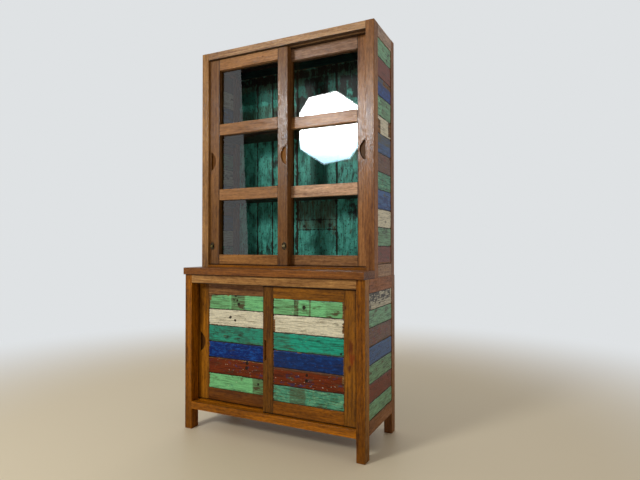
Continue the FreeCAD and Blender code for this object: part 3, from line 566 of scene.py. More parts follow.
def wear_plank(layers, front, along, across, marks, nails, seed):
    """Shape and mark a plank's face: worn arrises, slow waves, marks and nail pits.

    Each noise has its own waves per metre. The ends are worn 7 to 16 mm in, and a seam is dark for 1.6 mm.
    """
    boards = bpy.context.scene.cabinet_boards
    chance = random.Random(seed)
    shift = Vector([chance.uniform(-WEAR_SHIFT, WEAR_SHIFT) for _ in range(3)])
    spread = [(kind, *(part / 100 for part in mark)) for kind, *mark in marks]
    for point in front:
        x, y = point.co.x, point.co.y
        to_side = across / 2 - abs(y)
        to_end = along / 2 - abs(x)
        ragged, ragged_end, fine, wave, stray = (
            noise.noise(Vector(spot) + shift)
            for spot in ((x * 28, math.copysign(3, y), 0), (math.copysign(5, x), y * 45, 0),
                         (x * 140, y * 140, 0), (x * 7, y * 16, 2), (x * 60, y * 60, 9)))
        reach = boards.arris_width * (0.75 + 0.7 * ragged + 0.35 * fine)
        edge = max(0.0, 1 - to_side / max(reach, 0.2 * boards.arris_width))
        point.co.z += boards.undulation * (wave - 0.6) - boards.arris * edge ** 1.4 * (0.8 + 0.4 * ragged)
        amounts = {
            "worn": max(0.64 * edge, 0.6 * max(0.0, 1 - to_end / (7 * MM + 9 * MM * abs(ragged_end)))),
            "stain": 0.75 * max(0.0, 1 - to_side / (1.6 * MM)),
            "tint": 0.0,
            "rubbed": 0.0,
        }
        share = (x / along + 0.5, 0.5 - (y + 4 * MM * stray) / across)
        for kind, x0, x1, y0, y1, strength in spread:
            wander = stray * min(0.016, 0.15 * (x1 - x0))
            amount = strength * inside(share[0] + wander, x0, x1, MARK_EDGE / along)
            amount *= inside(share[1], y0, y1, MARK_EDGE / across)
            amounts[kind] = max(amounts[kind], amount)
        for kind, amount in amounts.items():
            point[layers[kind]] = amount
    for share_x, share_y, radius in nails:
        target = Vector(((share_x / 100 - 0.5) * along, (0.5 - share_y / 100) * across))
        nearest = min(front, key=lambda point: (point.co.xy - target).length)
        nearest.co.xy = target
        nearest.co.z -= boards.nail_depth
        for point in front:
            away = (point.co.xy - target).length / MM
            if away < 1.5 * radius:
                point[layers["stain"]] = max(point[layers["stain"]], 1.6 - 1.4 * away / radius)


PAINT_LOOKS = {
    # paint: (second colour, fleck colour, (clouds, their softness and size, flecks, grain lines, smudges))
    "leaf": ("sea", "cream", (0.30, 0.10, 20, 0.1, 0.7, 0.45)),
    "sage": ("sea", "cream", (0.35, 0.20, 12, 0.1, 0.8, 0.45)),
    "sea": ("sage", "earth", (0.45, 0.26, 8, 0.4, 0.9, 0.4)),
    "cream": ("earth", "earth", (0.05, 0.10, 20, 0.15, 0.6, 0.2)),
    "teal": ("pine", "leaf", (0.36, 0.30, 14, 0.1, 0.8, 0.22)),
    "blue": ("azure", "azure", (0.38, 0.26, 8, 0.3, 0.6, 0.0)),
    "navy": ("azure", "azure", (0.24, 0.40, 10, 0.2, 0.6, 0.0)),
    "slate": ("blue", "earth", (0.30, 0.20, 20, 0.1, 0.6, 0.4)),
    "rust": ("indigo", "cream", (0.22, 0.12, 11, 0.24, 0.8, 0.3)),
    "plum": ("rust", "earth", (0.35, 0.10, 20, 0.4, 0.6, 0.4)),
    "earth": ("plum", "slate", (0.45, 0.10, 20, 0.4, 0.7, 0.5)),
    "lagoon": ("pine", "tar", (0.52, 0.30, 30, 0.6, 0.6, 0.3)),
}


def paint_material(paint, axis):
    """The material of one paint on planks along one axis, made once."""
    name = "boat_paint_" + paint + "_along_" + axis
    known = bpy.data.materials.get(name)
    if known:
        return known
    paints = bpy.context.scene.cabinet_paints
    woods = bpy.context.scene.cabinet_woods
    second, fleck, amounts = PAINT_LOOKS[paint]
    shades = (getattr(paints, shade) for shade in (paint, second, fleck))
    return boat_paint(name, AXES[axis], *shades, woods, amounts, 4.0 * list(PAINT_LOOKS).index(paint))


def shares(sizes, start, end):
    """Cut the stretch from start to end into (low, high) pairs in proportion to the sizes."""
    scale = (end - start) / sum(sizes)
    cuts = list(accumulate((size * scale for size in sizes), initial=start))
    return [sorted(pair) for pair in zip(cuts, cuts[1:])]


# Heights of the planks, top to bottom, and widths of the back boards, left to right, in millimetres
DOOR_PLANKS = (69.0, 77.0, 76.0, 74.0, 75.0, 71.0)
LOWER_SIDE_PLANKS = (70.0, 71.0, 76.0, 73.0, 76.0, 76.0, 68.0)
UPPER_SIDE_PLANKS = (81.5, 85.0, 80.5, 86.0, 76.5, 84.0, 81.5, 77.0, 84.0, 78.5, 80.5, 79.0)
LOWER_BACK_BOARDS = (146.0, 128.0, 139.0, 152.0, 121.0, 138.0)
UPPER_BACK_BOARDS = (118.0, 92.0, 148.0, 217.0, 120.0, 125.0)
# Where a mark is that covers the whole plank
WHOLE = (0, 100, 0, 100)


def old_plank(paint, nails=(), **marks):
    """One plank's paint, its nail holes, and its marks by kind: worn, stain, tint or rubbed.

    Nail holes are (x, y, radius) and marks are (left, right, top, bottom, strength), in hundredths of the
    plank's length and width and of full strength. Radii are in millimetres. A mark that is one number is the
    strength on the whole plank.
    """
    rows = [(kind, *(mark if isinstance(mark, tuple) else (*WHOLE, mark)))
            for kind, group in marks.items() for mark in group]
    return paint, nails, rows


# The planks of each panel, top to bottom. Their marks run from left to right as the faces are seen.
LEFT_DOOR_PLANKS = (
    old_plank("leaf", nails=((46, 5, 7), (48.5, 35, 6), (51, 58, 8)),
        rubbed=((38, 61, 0, 100, 85), (0, 36, 0, 100, 35)),
        stain=((32, 34, 0, 100, 30), (40, 56, 0, 75, 30), (60, 61.5, 0, 100, 30), (70, 100, 45, 55, 25)),
        worn=((0, 4, 0, 45, 90), (0, 2, 0, 90, 80), (0, 36, 0, 10, 62), (12, 30, 0, 6, 90))),
    old_plank("cream", nails=((37, 45, 8), (45, 62, 8)), worn=((0, 100, 95, 100, 60), (0, 30, 0, 5, 50)),
        stain=((10, 70, 86, 90, 25),)),
    old_plank("teal", stain=((6, 15, 10, 75, 34), (22, 55, 35, 95, 26)), rubbed=((60, 100, 80, 100, 50), 25),
        tint=((0, 70, 0, 100, 25),)),
    old_plank("blue", tint=((68, 80, 10, 90, 30), (5, 30, 10, 80, 20), (0, 100, 30, 40, 25)),
        worn=((96, 100, 40, 60, 80), (0, 2, 10, 40, 60))),
    old_plank("rust", nails=((65, 14, 9.5), (64, 44, 9.5)), worn=((0, 100, 0, 7, 70), (1, 3, 36, 44, 80),
        (9, 11, 66, 74, 80), (21.5, 23.5, 41, 49, 80), (39, 42, 69, 79, 85), (69, 72, 82, 92, 85),
        (55, 57, 60, 66, 80), (28, 30, 10, 18, 80)), tint=((30, 95, 30, 100, 14),)),
    old_plank("leaf", nails=((83, 35, 7),), rubbed=((74, 93, 0, 100, 85), (0, 70, 90, 100, 40)),
        stain=((73.5, 76, 0, 100, 38), (78, 92, 0, 12, 35)), worn=((0, 2, 10, 80, 70),)),
)
RIGHT_DOOR_PLANKS = (
    old_plank("leaf", nails=((45, 47, 10),), stain=((30, 33, 0, 100, 36), (34.5, 37, 0, 100, 34),
        (52, 54.5, 0, 100, 34), (78, 97, 12, 20, 30), (78, 97, 78, 86, 30)), rubbed=((30, 37, 0, 100, 100),
        (52, 54.5, 0, 100, 100), (2, 30, 10, 100, 40), (41, 50, 30, 70, 60), (75, 100, 0, 100, 30)),
        worn=((97.5, 100, 0, 100, 75),)),
    old_plank("cream", worn=((0, 3, 30, 100, 75), (97.5, 100, 20, 80, 75))),
    old_plank("teal", nails=((96, 85, 6),), rubbed=((0, 25, 0, 100, 30), (50, 100, 92, 100, 90)),
        stain=((2, 20, 10, 30, 25),)),
    old_plank("navy", worn=((98.5, 100, 0, 100, 70), (0, 100, 0, 5, 60))),
    old_plank("rust", nails=((49, 24, 8), (48.5, 56, 8)), rubbed=((0, 100, 0, 12, 50),),
        tint=((17, 56, 20, 100, 24), (78, 100, 20, 100, 10)),
        worn=((20, 22, 75, 82, 80), (64, 66, 55, 62, 80), (97, 100, 0, 50, 70))),
    old_plank("sea", rubbed=((24, 47, 0, 100, 70),), stain=((3, 95, 20, 80, 14),)),
)
UPPER_RIGHT_PLANKS = (
    old_plank("sage", nails=((80, 40, 7), (70, 75, 7)), stain=((60, 95, 20, 90, 22),), rubbed=(25,)),
    old_plank("plum", stain=((0, 100, 0, 30, 10),)),
    old_plank("blue", rubbed=((0, 100, 0, 30, 95),), worn=((40, 100, 5, 30, 62),),
        tint=((0, 100, 50, 100, 20),)),
    old_plank("sage", nails=((25, 20, 7),), stain=((0, 30, 0, 100, 30),), rubbed=((30, 100, 0, 100, 50),)),
    old_plank("cream", worn=((0, 22, 20, 100, 70), (80, 100, 0, 90, 70)), stain=((0, 6, 0, 100, 30),)),
    old_plank("slate", rubbed=((0, 100, 0, 50, 90), (0, 100, 50, 100, 20))),
    old_plank("earth"),
    old_plank("sea", stain=(8,)),
    old_plank("slate", tint=((0, 100, 30, 100, 40),)),
    old_plank("cream", stain=((0, 100, 90, 100, 10),)),
    old_plank("sage", stain=((20, 70, 0, 35, 28),), rubbed=(55,)),
    old_plank("plum", worn=((0, 100, 85, 100, 55),), stain=((20, 70, 80, 84, 30),)),
)
LOWER_RIGHT_PLANKS = (
    old_plank("cream", nails=((90, 30, 7),),
        stain=((0, 10, 0, 100, 42), (0, 95, 0, 60, 40), (40, 80, 20, 80, 42)), rubbed=(40,)),
    old_plank("sage", rubbed=(25,)),
    old_plank("earth"),
    old_plank("slate", rubbed=(20,)),
    old_plank("sage", stain=((60, 70, 10, 90, 28),), rubbed=(50,)),
    old_plank("plum", nails=((80, 20, 7),)),
    old_plank("sage", rubbed=(30,)),
)
# The left side, away from the usual view, has the same timber in another order
UPPER_LEFT_PLANKS = tuple(UPPER_RIGHT_PLANKS[index] for index in (6, 4, 5, 0, 11, 3, 9, 8, 1, 2, 4, 7))
LOWER_LEFT_PLANKS = LOWER_RIGHT_PLANKS[3:] + LOWER_RIGHT_PLANKS[:3]

# Painted shade on all back boards: dark under the top, and in two bands at the shelves' heights. A board's x
# runs up from its foot, and its y from left to right.
PAINTED_SHADE_ON_BACK = {
    "tint": ((86, 100, 0, 100, 100),),
    "stain": ((95.5, 100, 0, 100, 50), (90, 100, 0, 100, 32), (62, 68, 0, 100, 28), (30, 34.5, 0, 100, 32)),
    "rubbed": ((92, 100, 0, 100, 60),),
}


def back_board(nails=(), **marks):
    """One lagoon green back board of the upper case, with its own marks and the shared painted shade under
    the top and at the shelves.
    """
    shared = {kind: (*marks.get(kind, ()), *rows) for kind, rows in PAINTED_SHADE_ON_BACK.items()}
    return old_plank("lagoon", nails, **shared)


UPPER_BACK = (
    back_board(rubbed=((66, 82, 0, 100, 60),)),
    back_board(rubbed=((66, 84, 0, 100, 60),), stain=((0, 10, 0, 100, 30),)),
    back_board(rubbed=((68, 82, 0, 100, 90),),
        stain=((70, 81, 0, 100, 30), (35, 62, 0, 30, 34), (0, 100, 94, 100, 70), (0, 16, 0, 100, 20))),
    back_board(nails=((18.5, 17.5, 8), (20.4, 57.6, 8), (18.7, 83.9, 9)), stain=((16, 17.1, 0, 100, 60),
        (21.1, 21.8, 0, 100, 50), (22, 32, 0, 80, 26), (73, 86, 0, 75, 46), (79, 95, 20, 80, 50),
        (86, 94, 20, 60, 40), (37, 37.6, 0, 35, 50), (0, 100, 97, 100, 60), (0, 62, 41, 43, 40)),
        rubbed=((17, 32, 0, 100, 85),), tint=((35, 60, 35, 75, 90),)),
    back_board(stain=((81, 93, 0, 100, 46), (38, 50, 0, 90, 30), (20, 30, 30, 100, 34), (0, 100, 0, 5, 50)),
        rubbed=((50, 66, 30, 100, 70),)),
    back_board(stain=((70, 90, 0, 100, 40),), rubbed=((10, 30, 0, 100, 50),)),
)
LOWER_BACK = (old_plank("lagoon", stain=((85, 100, 0, 100, 25),)),) * 6


# Painted shade: the share of each colour that it leaves, and where it is painted as axis, place, reach and
# strength:
# in the gaps at the doors' tops and feet and at the glass doors' feet, and darker towards the floor on the
# lower front posts
PAINTED_SHADE_TINT = (0.04, 0.04, 0.04)
DOOR_ENDS = (("z", 129.5, 7, 0.85), ("z", 678.5, 6, 0.85))
GLASS_FOOT = ("z", 763.5, 6, 0.85)
DARK_FOOT = ("z", 0, 220, 0.28)


def member(*look, **marks):
    """One member's look and marks, with places and sizes in millimetres.

    look is its grain axis, its tone, how deep the tone is, how glossy and how streaky it is. pulls are
    finger pulls: the middle, the hollow's tone and how dark it is, partly painted shade in the hollow. knots
    are
    knots and plugs: the place, size and lightness. The shade lines are painted shade in gaps and under edges
    next to other parts, and towards the floor: axis, place, reach and strength. The tone and highlight bands
    are where the wood's tone is lighter, darker or warmer, and where a paler, bluer band is a painted
    highlight or
    sheen: axis, place, reach and tint.
    """
    return look, marks


# Shade lines here are painted shade under the heads and the counter strip, and towards the floor on the lower
# front posts
CASE_MEMBERS = {
    "lower_front_left_post": member("z", "amber", 1.0, 0.1, 1.2, grime=(DARK_FOOT,)),
    # The thin pale, bluish line on the post's corner is a painted highlight
    "lower_front_right_post": member("z", "amber", 0.86, 0.1, 1.2, grime=(DARK_FOOT,),
        aged=(("x", 450, 3, (1.12, 1.4, 6)),)),
    "lower_back_left_post": member("z", "plum", 0.9, 0.05),
    "lower_back_right_post": member("z", "plum", 1.05, 0.02, aged=(("x", 450, 3, (1.08, 1.06, 0.8)),)),
    "lower_left_side_rails": member("y", "plum", 1.0, 0.05),
    "lower_right_side_rails": member("y", "plum", 1.3, 0.05, aged=(("z", 703, 200, (1.2, 1.03, 0.7)),)),
    "lower_back_rails": member("x", "plum", 0.9, 0.05),
    "lower_sill": member("x", "amber", 1.15, 0.15, 1.2),
    "lower_head": member("x", "honey", 1.25, 0.15, 1.2, grime=(("z", 680, 5, 0.85), ("z", 720, 3, 0.85))),
    "upper_front_left_post": member("z", "honey", 1.0, 0.3),
    "upper_front_right_post": member("z", "copper", 0.9, 0.5,
        aged=(("z", 760, 800, (0.93, 0.76, 0.45)), ("z", 1780, 300, (0.88, 0.82, 0.76)))),
    "upper_back_left_post": member("z", "plum", 0.9, 0.05),
    "upper_back_right_post": member("z", "plum", 1.1, 0.02, aged=(("x", 448, 3, (1.14, 1.06, 0.8)),)),
    "upper_left_side_rails": member("y", "plum", 1.2, 0.05),
    # The top rail's paler, bluer band is painted sheen
    "upper_right_side_rails": member("y", "smoke", 4.4, 0.05, aged=(("z", 1773, 200, (1.23, 1.42, 1.8)),)),
    # The back rails are darkened as painted shade at the top of the case
    "upper_back_rails": member("x", "moss", 0.6, 0.02),
    "upper_sill": member("x", "amber", 0.8),
    # The head's paler, bluer band near its top is painted sheen
    "upper_head": member("x", "honey", 1.3, 0.36, grime=(("z", 1766, 3, 0.85),),
        aged=(("z", 1783, 200, (1.0, 1.16, 1.9)),)),
    "counter_strip": member("x", "russet", 0.85, 0.15, 1.2, grime=(("z", 720, 4, 0.85),)),
    # The jamb strips are darkened as painted shade in the reveals beside the doors
    "jamb_strips": member("z", "umber", 0.6),
}
# Shade lines here are painted shade in the gaps at the doors' tops and feet, and along stile edges next to
# the panes, planks and posts
DOOR_MEMBERS = {
    "glass_left_door_outer_stile": member("z", "drab", 1.0, 0.3,
        pulls=(((-387.5, -52, 1269), "amber", 0.3),), grime=(GLASS_FOOT, ("x", -354.5, 3, 0.8)),
        aged=(("z", 760, 560, (0.86, 0.8, 0.52)),)),
    "glass_left_door_meeting_stile": member("z", "drab", 0.86, 0.36,
        pulls=(((6, -52, 1269), "umber", 0.95),), knots=(((19, -61, 1354), 7, 0.25),),
        grime=(GLASS_FOOT, ("x", -24, 3, 0.8)), aged=(("z", 760, 420, (0.98, 0.91, 0.68)),)),
    "glass_left_door_end_rails": member("x", "copper", 0.95, 0.2, knots=(((-105, -61, 1741), 2.5, 0.3),),
        grime=(GLASS_FOOT,), aged=(("z", 787, 200, (1.12, 1.06, 0.78)),)),
    "glass_left_door_middle_rails": member("x", "copper", 0.9, 0.26, 0.8),
    "glass_left_door_glazing_beads": member("x", "umber", 0.5),
    "glass_right_door_outer_stile": member("z", "copper", 1.1, 0.34,
        pulls=(((375.5, -11, 1269), "drab", 0.42),), grime=(GLASS_FOOT, ("x", 354.5, 3, 0.8)),
        aged=(("z", 760, 600, (1.03, 0.95, 0.8)), ("z", 1770, 300, (0.74, 0.68, 0.64)))),
    "glass_right_door_meeting_stile": member("z", "drab", 0.7, 0.3),
    # The top rail's paler, bluer band is a painted highlight
    "glass_right_door_end_rails": member("x", "copper", 0.95, 0.3, grime=(GLASS_FOOT,),
        aged=(("z", 1738, 200, (0.95, 1.12, 1.9)),)),
    # The lower middle rail's strong pale, bluish band is a painted highlight
    "glass_right_door_middle_rails": member("x", "copper", 1.1, 0.22, 0.8,
        aged=(("z", 1103, 200, (1.5, 1.9, 3.2)),)),
    "glass_right_door_glazing_beads": member("x", "umber", 0.5),
    "plank_left_door_outer_stile": member("z", "umber", 1.45, 0.1, 1.6,
        pulls=(((-389.5, -127, 400), "russet", 0.28),), knots=(((-389, -136, 576), 3.5, 0.25),),
        grime=(*DOOR_ENDS, ("x", -354.5, 3, 0.8))),
    "plank_left_door_meeting_stile": member("z", "umber", 0.7, 0.1, 1.4, grime=DOOR_ENDS),
    "plank_left_door_rails": member("x", "drab", 1.25, 0.14, 1.2, grime=DOOR_ENDS,
        aged=(("z", 150, 120, (0.6, 0.42, 0.15)),)),
    "plank_right_door_outer_stile": member("z", "umber", 1.15, 0.1, 1.6, knots=(((383, -177, 446), 12, 0.5),
        ((389, -177, 404), 13, 1.0), ((378, -177, 362), 8, 0.3), ((362, -177, 604), 4, 0.3)),
        grime=(*DOOR_ENDS, ("x", 411.5, 10, 0.85), ("x", 354.5, 3, 0.8))),
    "plank_right_door_meeting_stile": member("z", "umber", 0.68, 0.1, 1.4,
        pulls=(((-6, -168, 400), "russet", 0.55),), grime=(*DOOR_ENDS, ("x", 24, 3, 0.8))),
    "plank_right_door_rails": member("x", "umber", 1.1, 0.1, 1.2, grime=DOOR_ENDS,
        aged=(("z", 150, 120, (1.1, 0.97, 0.6)),)),
}
INSIDE_BOARDS = {
    "lower_floor_board": ("x", "plum", 0.8),
    "lower_top_board": ("x", "plum", 0.8),
    "lower_shelf": ("x", "plum", 0.8),
    "lower_shelf_cleats": ("y", "plum", 0.8),
    "upper_floor_board": ("x", "smoke", 1.2),
    # The upper top board and shelves are darker than the upper floor board: painted shade on their shaded
    # undersides
    "upper_top_board": ("x", "smoke", 0.6),
    "upper_shelves": ("x", "smoke", 0.6),
    "upper_shelf_cleats": ("y", "smoke", 1.0),
}
# Each metal's slot, its look as aged_metal() takes it, and its nodes
METALS = (
    ("dark_plate", ("patinated_bronze", "#4f4230", "#1e1811", 0.38), "lock_plates"),
    ("lock_metal", ("rubbed_brass", "#c9b282", "#7c643c", 0.24), "meeting_lock_screw", "meeting_lock_socket"),
    ("lock_metal", ("dull_brass", "#8f7d4c", "#4c3f24", 0.34), "outer_lock_screw"),
    ("screw_steel", ("zinc_plated_steel", "#b9b9b4", "#7f7d78", 0.35), "counter_strip_screws"),
)
# Half the size of a finger pull's hollow
PULL_HALF = Vector((20.0, 8.6, 58.0)) * MM
# How each panel's planks lie: the axes of their length, width and thickness, and the turn that lays them so
LAYOUTS = {
    "front": ((0, 2, 1), ((1, 0, 0), (0, 0, -1), (0, 1, 0))),
    "right": ((1, 2, 0), ((0, 0, 1), (1, 0, 0), (0, 1, 0))),
    "left": ((1, 2, 0), ((0, 0, -1), (-1, 0, 0), (0, 1, 0))),
    "back": ((2, 0, 1), ((0, -1, 0), (0, 0, -1), (1, 0, 0))),
}


def panel(node, body, side, widths, rows, seed):
    """Model and paint the planks of one panel, side by side from its top or its left, for its frame node."""
    boards = bpy.context.scene.cabinet_boards
    cells, slot = (boards.board_cell, "teal_board") if side == "back" else (boards.cell, "painted_plank")
    (run, stack, deep), turn = LAYOUTS[side]
    low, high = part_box(node)
    reach = boards.tongue_length
    start, end = low[run] + reach, high[run] - reach
    ends = (high[stack] - reach, low[stack] + reach)
    pairs = shares(widths, *(ends if turn[stack][1] > 0 else reversed(ends)))
    middle = Vector()
    middle[run] = (start + end) / 2
    middle[deep] = high[deep] if turn[deep][2] > 0 else low[deep]
    for index, ((near, far), (paint, nails, marks)) in enumerate(zip(pairs, rows)):
        sides = [1] * (index == 0) + [-1] * (index == len(rows) - 1)
        middle[stack] = (near + far) / 2
        place = Matrix.Translation(middle) @ Matrix(turn).to_4x4()
        piece = plank(node + "_" + str(index + 1), (end - start, far - near, high[deep] - low[deep]), cells,
                      place, sides, marks, nails, seed + index)
        piece.data.materials.append(paint_material(paint, "xyz"[run]))
        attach(piece, body)
        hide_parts(node)


# ---- Operators ----

class CABINET_OT_case_frames(bpy.types.Operator):
    """Finish the posts, rails, sills, heads and counter strip of both cases"""
    bl_idname = "cabinet.case_frames"
    bl_label = "Case frames"

    def execute(self, context):
        for node, (look, marks) in CASE_MEMBERS.items():
            varnish(node, *look, **marks)
        return {"FINISHED"}


class CABINET_OT_door_frames(bpy.types.Operator):
    """Finish the stiles, rails and glazing beads of the four doors"""
    bl_idname = "cabinet.door_frames"
    bl_label = "Door frames"

    def execute(self, context):
        for node, (look, marks) in DOOR_MEMBERS.items():
            varnish(node, *look, **marks)
        return {"FINISHED"}


class CABINET_OT_inside_boards(bpy.types.Operator):
    """Finish the floors, tops, shelves and their cleats"""
    bl_idname = "cabinet.inside_boards"
    bl_label = "Floors, tops and shelves"

    def execute(self, context):
        for node, look in INSIDE_BOARDS.items():
            varnish(node, *look, gloss=0.05, slot="plain_board")
        varnish("case_dowels", "z", "drab")
        return {"FINISHED"}


class CABINET_OT_glazing(bpy.types.Operator):
    """Finish the panes of both glass doors"""
    bl_idname = "cabinet.glazing"
    bl_label = "Glass panes"

    def execute(self, context):
        glass = float_glass("float_glass")
        for door in ("glass_left_door", "glass_right_door"):
            finish(door + "_panes", glass)
        return {"FINISHED"}


class CABINET_OT_metalwork(bpy.types.Operator):
    """Finish the screw locks and the screws under the counter strip"""
    bl_idname = "cabinet.metalwork"
    bl_label = "Locks and screws"

    def execute(self, context):
        for slot, look, *nodes in METALS:
            metal = aged_metal(*look)
            for node in nodes:
                finish(node, metal)
        return {"FINISHED"}


class CABINET_OT_door_planks(bpy.types.Operator):
    """Model and paint the planks of the two lower doors"""
    bl_idname = "cabinet.door_planks"
    bl_label = "Door planks"

    def execute(self, context):
        for door, rows, seed in (("plank_left_door", LEFT_DOOR_PLANKS, 100),
                                 ("plank_right_door", RIGHT_DOOR_PLANKS, 120)):
            panel(door + "_planks", door, "front", DOOR_PLANKS, rows, seed)
        return {"FINISHED"}


class CABINET_OT_side_planks(bpy.types.Operator):
    """Model and paint the planks of the four side panels"""
    bl_idname = "cabinet.side_planks"
    bl_label = "Side planks"

    def execute(self, context):
        for case, hand, widths, rows, seed in (
                ("upper", "right", UPPER_SIDE_PLANKS, UPPER_RIGHT_PLANKS, 140),
                ("lower", "right", LOWER_SIDE_PLANKS, LOWER_RIGHT_PLANKS, 160),
                ("upper", "left", UPPER_SIDE_PLANKS, UPPER_LEFT_PLANKS, 180),
                ("lower", "left", LOWER_SIDE_PLANKS, LOWER_LEFT_PLANKS, 200)):
            panel(case + "_" + hand + "_side_planks", "cabinet", hand, widths, rows, seed)
        return {"FINISHED"}


class CABINET_OT_back_boards(bpy.types.Operator):
    """Model and paint the upright boards of the two backs"""
    bl_idname = "cabinet.back_boards"
    bl_label = "Back boards"

    def execute(self, context):
        panel("upper_back_boards", "cabinet", "back", UPPER_BACK_BOARDS, UPPER_BACK, 220)
        panel("lower_back_boards", "cabinet", "back", LOWER_BACK_BOARDS, LOWER_BACK, 240)
        return {"FINISHED"}


SENSOR_WIDTH = 36.0
FLOOR_RADIUS = 60.0
FLOOR_FADE = (1.2, 3.4)
SOFTBOX_AIM = Vector((0.0, 0.0, 1.2))
FILL_AIM = Vector((0.0, 0.2, 0.8))
WARM_WHITE = (1.0, 0.99, 0.97, 1.0)


def stage_object(name, mesh, material, unseen=()):
    """Turn a bmesh into an object of the stage that some kinds of ray don't see."""
    made = mesh_object(name, mesh)
    made.data.materials.append(material)
    for ray in unseen:
        setattr(made, "visible_" + ray, False)


def aimed(place, aim):
    """The matrix that puts a lamp in its place and turns its face to its aim."""
    return Matrix.Translation(place) @ (aim - place).to_track_quat("Z", "Y").to_matrix().to_4x4()


def lamp_face(node, tint, strength):
    """Finish a lamp's material: it shines from its front and is dark behind."""
    light = node("Emission", {"Color": tint, "Strength": strength})
    dark = node("Emission", {"Strength": 0.0})
    facing = node("NewGeometry", out="Backfacing")
    node("OutputMaterial", {"Surface": node("MixShader", facing, light, dark)})


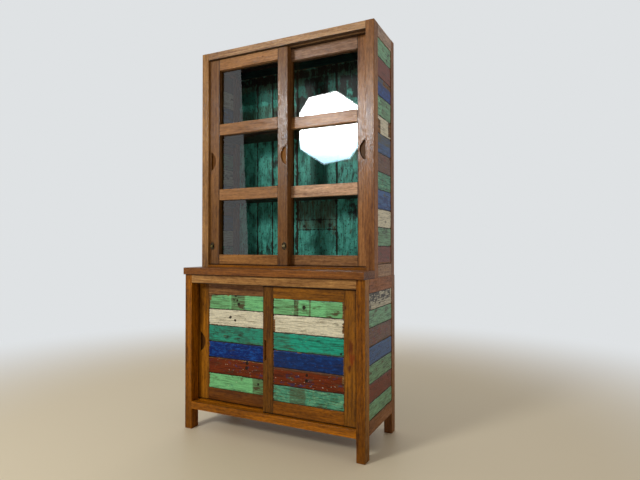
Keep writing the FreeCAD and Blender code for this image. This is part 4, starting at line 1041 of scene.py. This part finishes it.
class CABINET_OT_stage(bpy.types.Operator):
    """Set up the camera, the pale floor, the softbox and the room light"""
    bl_idname = "cabinet.stage"
    bl_label = "Stage"

    def execute(self, context):
        stage = context.scene.cabinet_stage
        camera = bpy.data.objects.new("camera", bpy.data.cameras.new("camera"))
        context.scene.collection.objects.link(camera)
        camera.location = stage.camera_place
        camera.rotation_euler = (math.pi / 2 + stage.camera_lift, 0.0, stage.camera_turn)
        camera.data.sensor_width = SENSOR_WIDTH
        camera.data.lens = stage.camera_lens
        context.scene.camera = camera
        for make in (self.make_floor, self.make_softbox, self.make_fill, self.make_flag, self.make_world):
            make(stage)
        context.scene.view_settings.view_transform = "Standard"
        return {"FINISHED"}

    def make_floor(self, stage):
        """A pale floor that runs out into the backdrop's colour."""
        mesh = bmesh.new()
        bmesh.ops.create_circle(mesh, cap_ends=True, segments=96, radius=FLOOR_RADIUS)
        material, node = new_material("pale_floor")
        away = node("VectorMath", node("TexCoord", out="Object"), **LENGTH)
        far = node("MapRange", away, FLOOR_FADE[0], FLOOR_FADE[1], **SOFT_STEP)
        near = node("BsdfPrincipled", {"Base Color": stage.floor, "Roughness": 0.5})
        glow = node("Emission", {"Color": stage.backdrop, "Strength": 1.0})
        node("OutputMaterial", {"Surface": node("MixShader", far, near, glow)})
        stage_object("floor", mesh, material)

    def make_softbox(self, stage):
        """An eight-sided softbox ahead and to the left, which lights the front and shows in the glass."""
        radius = stage.softbox_radius
        mesh = bmesh.new()
        bmesh.ops.create_circle(mesh, cap_ends=True, cap_tris=True, segments=8, radius=radius)
        inward = mesh.verts.layers.float.new("inward")
        for point in mesh.verts:
            point[inward] = 1.0 - min(1.0, point.co.length / radius)
        place = Vector(stage.softbox_place)
        turn = aimed(place, SOFTBOX_AIM) @ Matrix.Rotation(stage.softbox_turn, 4, "Z")
        bmesh.ops.transform(mesh, matrix=turn, verts=mesh.verts)
        material, node = new_material("softbox")
        # It is paler and stronger towards its top, and dims at its rim
        height = node("SeparateXYZ", node("TexCoord", out="Object"), out="Z")
        rise = node("MapRange", height, place.z - 1.05 * radius, place.z + 0.5 * radius, **SOFT_STEP)
        tint = node("Mix", {0: rise, 6: stage.softbox_foot, 7: WHITE}, **COLOURS)
        fall = node("Math", rise, 1.05 * stage.softbox_light, 0.27 * stage.softbox_light, **WEIGHTED)
        rim = node("Attribute", out="Fac", attribute_name="inward")
        rim = node("MapRange", rim, 0.0, stage.softbox_rim, **SOFT_STEP)
        lamp_face(node, tint, node("Math", fall, rim, operation="MULTIPLY"))
        stage_object("softbox", mesh, material, unseen=("camera",))

    def make_fill(self, stage):
        """A broad weak lamp behind the cabinet, so that its back is lit too."""
        mesh = oblong(stage.fill_width, stage.fill_width)
        bmesh.ops.transform(mesh, matrix=aimed(Vector(stage.fill_place), FILL_AIM), verts=mesh.verts)
        material, node = new_material("fill_lamp")
        lamp_face(node, WHITE, stage.fill_light)
        stage_object("fill_lamp", mesh, material, unseen=("camera", "glossy"))

    def make_flag(self, stage):
        """A dark panel behind the camera that keeps the pale room out of all but the leftmost glass."""
        mesh = oblong(stage.flag_size, stage.flag_size)
        for angle, axis in ((math.pi / 2, "X"), (stage.flag_lean, "Y")):
            bmesh.ops.rotate(mesh, matrix=Matrix.Rotation(angle, 3, axis), verts=mesh.verts)
        middle = Vector(stage.flag_edge) + Vector((stage.flag_size / 2, 0, 0))
        bmesh.ops.translate(mesh, vec=middle, verts=mesh.verts)
        material, node = new_material("dark_flag")
        tone = node("Emission", {"Color": stage.flag_tone, "Strength": 1.0})
        node("OutputMaterial", {"Surface": tone})
        stage_object("dark_flag", mesh, material, unseen=("camera", "diffuse", "shadow", "transmission"))

    def make_world(self, stage):
        """Even room light, with the backdrop's pale colour where the camera, metal or glass sees it."""
        world = bpy.data.worlds.new("room")
        bpy.context.scene.world = world
        world.use_nodes = True
        world.node_tree.nodes.clear()
        node = partial(add, world.node_tree)
        shown = node("LightPath", out="Is Camera Ray")
        for ray in ("Is Glossy Ray", "Is Transmission Ray"):
            shown = node("Math", shown, node("LightPath", out=ray), operation="MAXIMUM")
        room = node("Background", {"Color": WARM_WHITE, "Strength": stage.sky_light})
        backdrop = node("Background", {"Color": stage.backdrop, "Strength": 1.0})
        node("OutputWorld", {"Surface": node("MixShader", shown, room, backdrop)})


class CABINET_PT_panel(bpy.types.Panel):
    """The cabinet's tools in the 3D view's sidebar"""
    bl_idname = "CABINET_PT_panel"
    bl_label = "Kitchen cabinet"
    bl_space_type = "VIEW_3D"
    bl_region_type = "UI"
    bl_category = "Cabinet"

    def draw(self, context):
        for tool in OPERATORS:
            self.layout.operator(tool.bl_idname)


OPERATORS = (
    CABINET_OT_stage,
    CABINET_OT_case_frames,
    CABINET_OT_door_frames,
    CABINET_OT_inside_boards,
    CABINET_OT_glazing,
    CABINET_OT_metalwork,
    CABINET_OT_door_planks,
    CABINET_OT_side_planks,
    CABINET_OT_back_boards,
)
SETTINGS = {
    "cabinet_woods": CabinetWoods,
    "cabinet_paints": CabinetPaints,
    "cabinet_boards": CabinetBoards,
    "cabinet_stage": CabinetStage,
}


def register():
    for name, group in SETTINGS.items():
        bpy.utils.register_class(group)
        setattr(bpy.types.Scene, name, PointerProperty(type=group))
    for part in (*OPERATORS, CABINET_PT_panel):
        bpy.utils.register_class(part)


def unregister():
    for part in reversed((*OPERATORS, CABINET_PT_panel)):
        bpy.utils.unregister_class(part)
    for name, group in SETTINGS.items():
        delattr(bpy.types.Scene, name)
        bpy.utils.unregister_class(group)


def main():
    register()
    for tool in OPERATORS:
        group, action = tool.bl_idname.split(".")
        getattr(getattr(bpy.ops, group), action)()


if __name__ == "__main__":
    main()
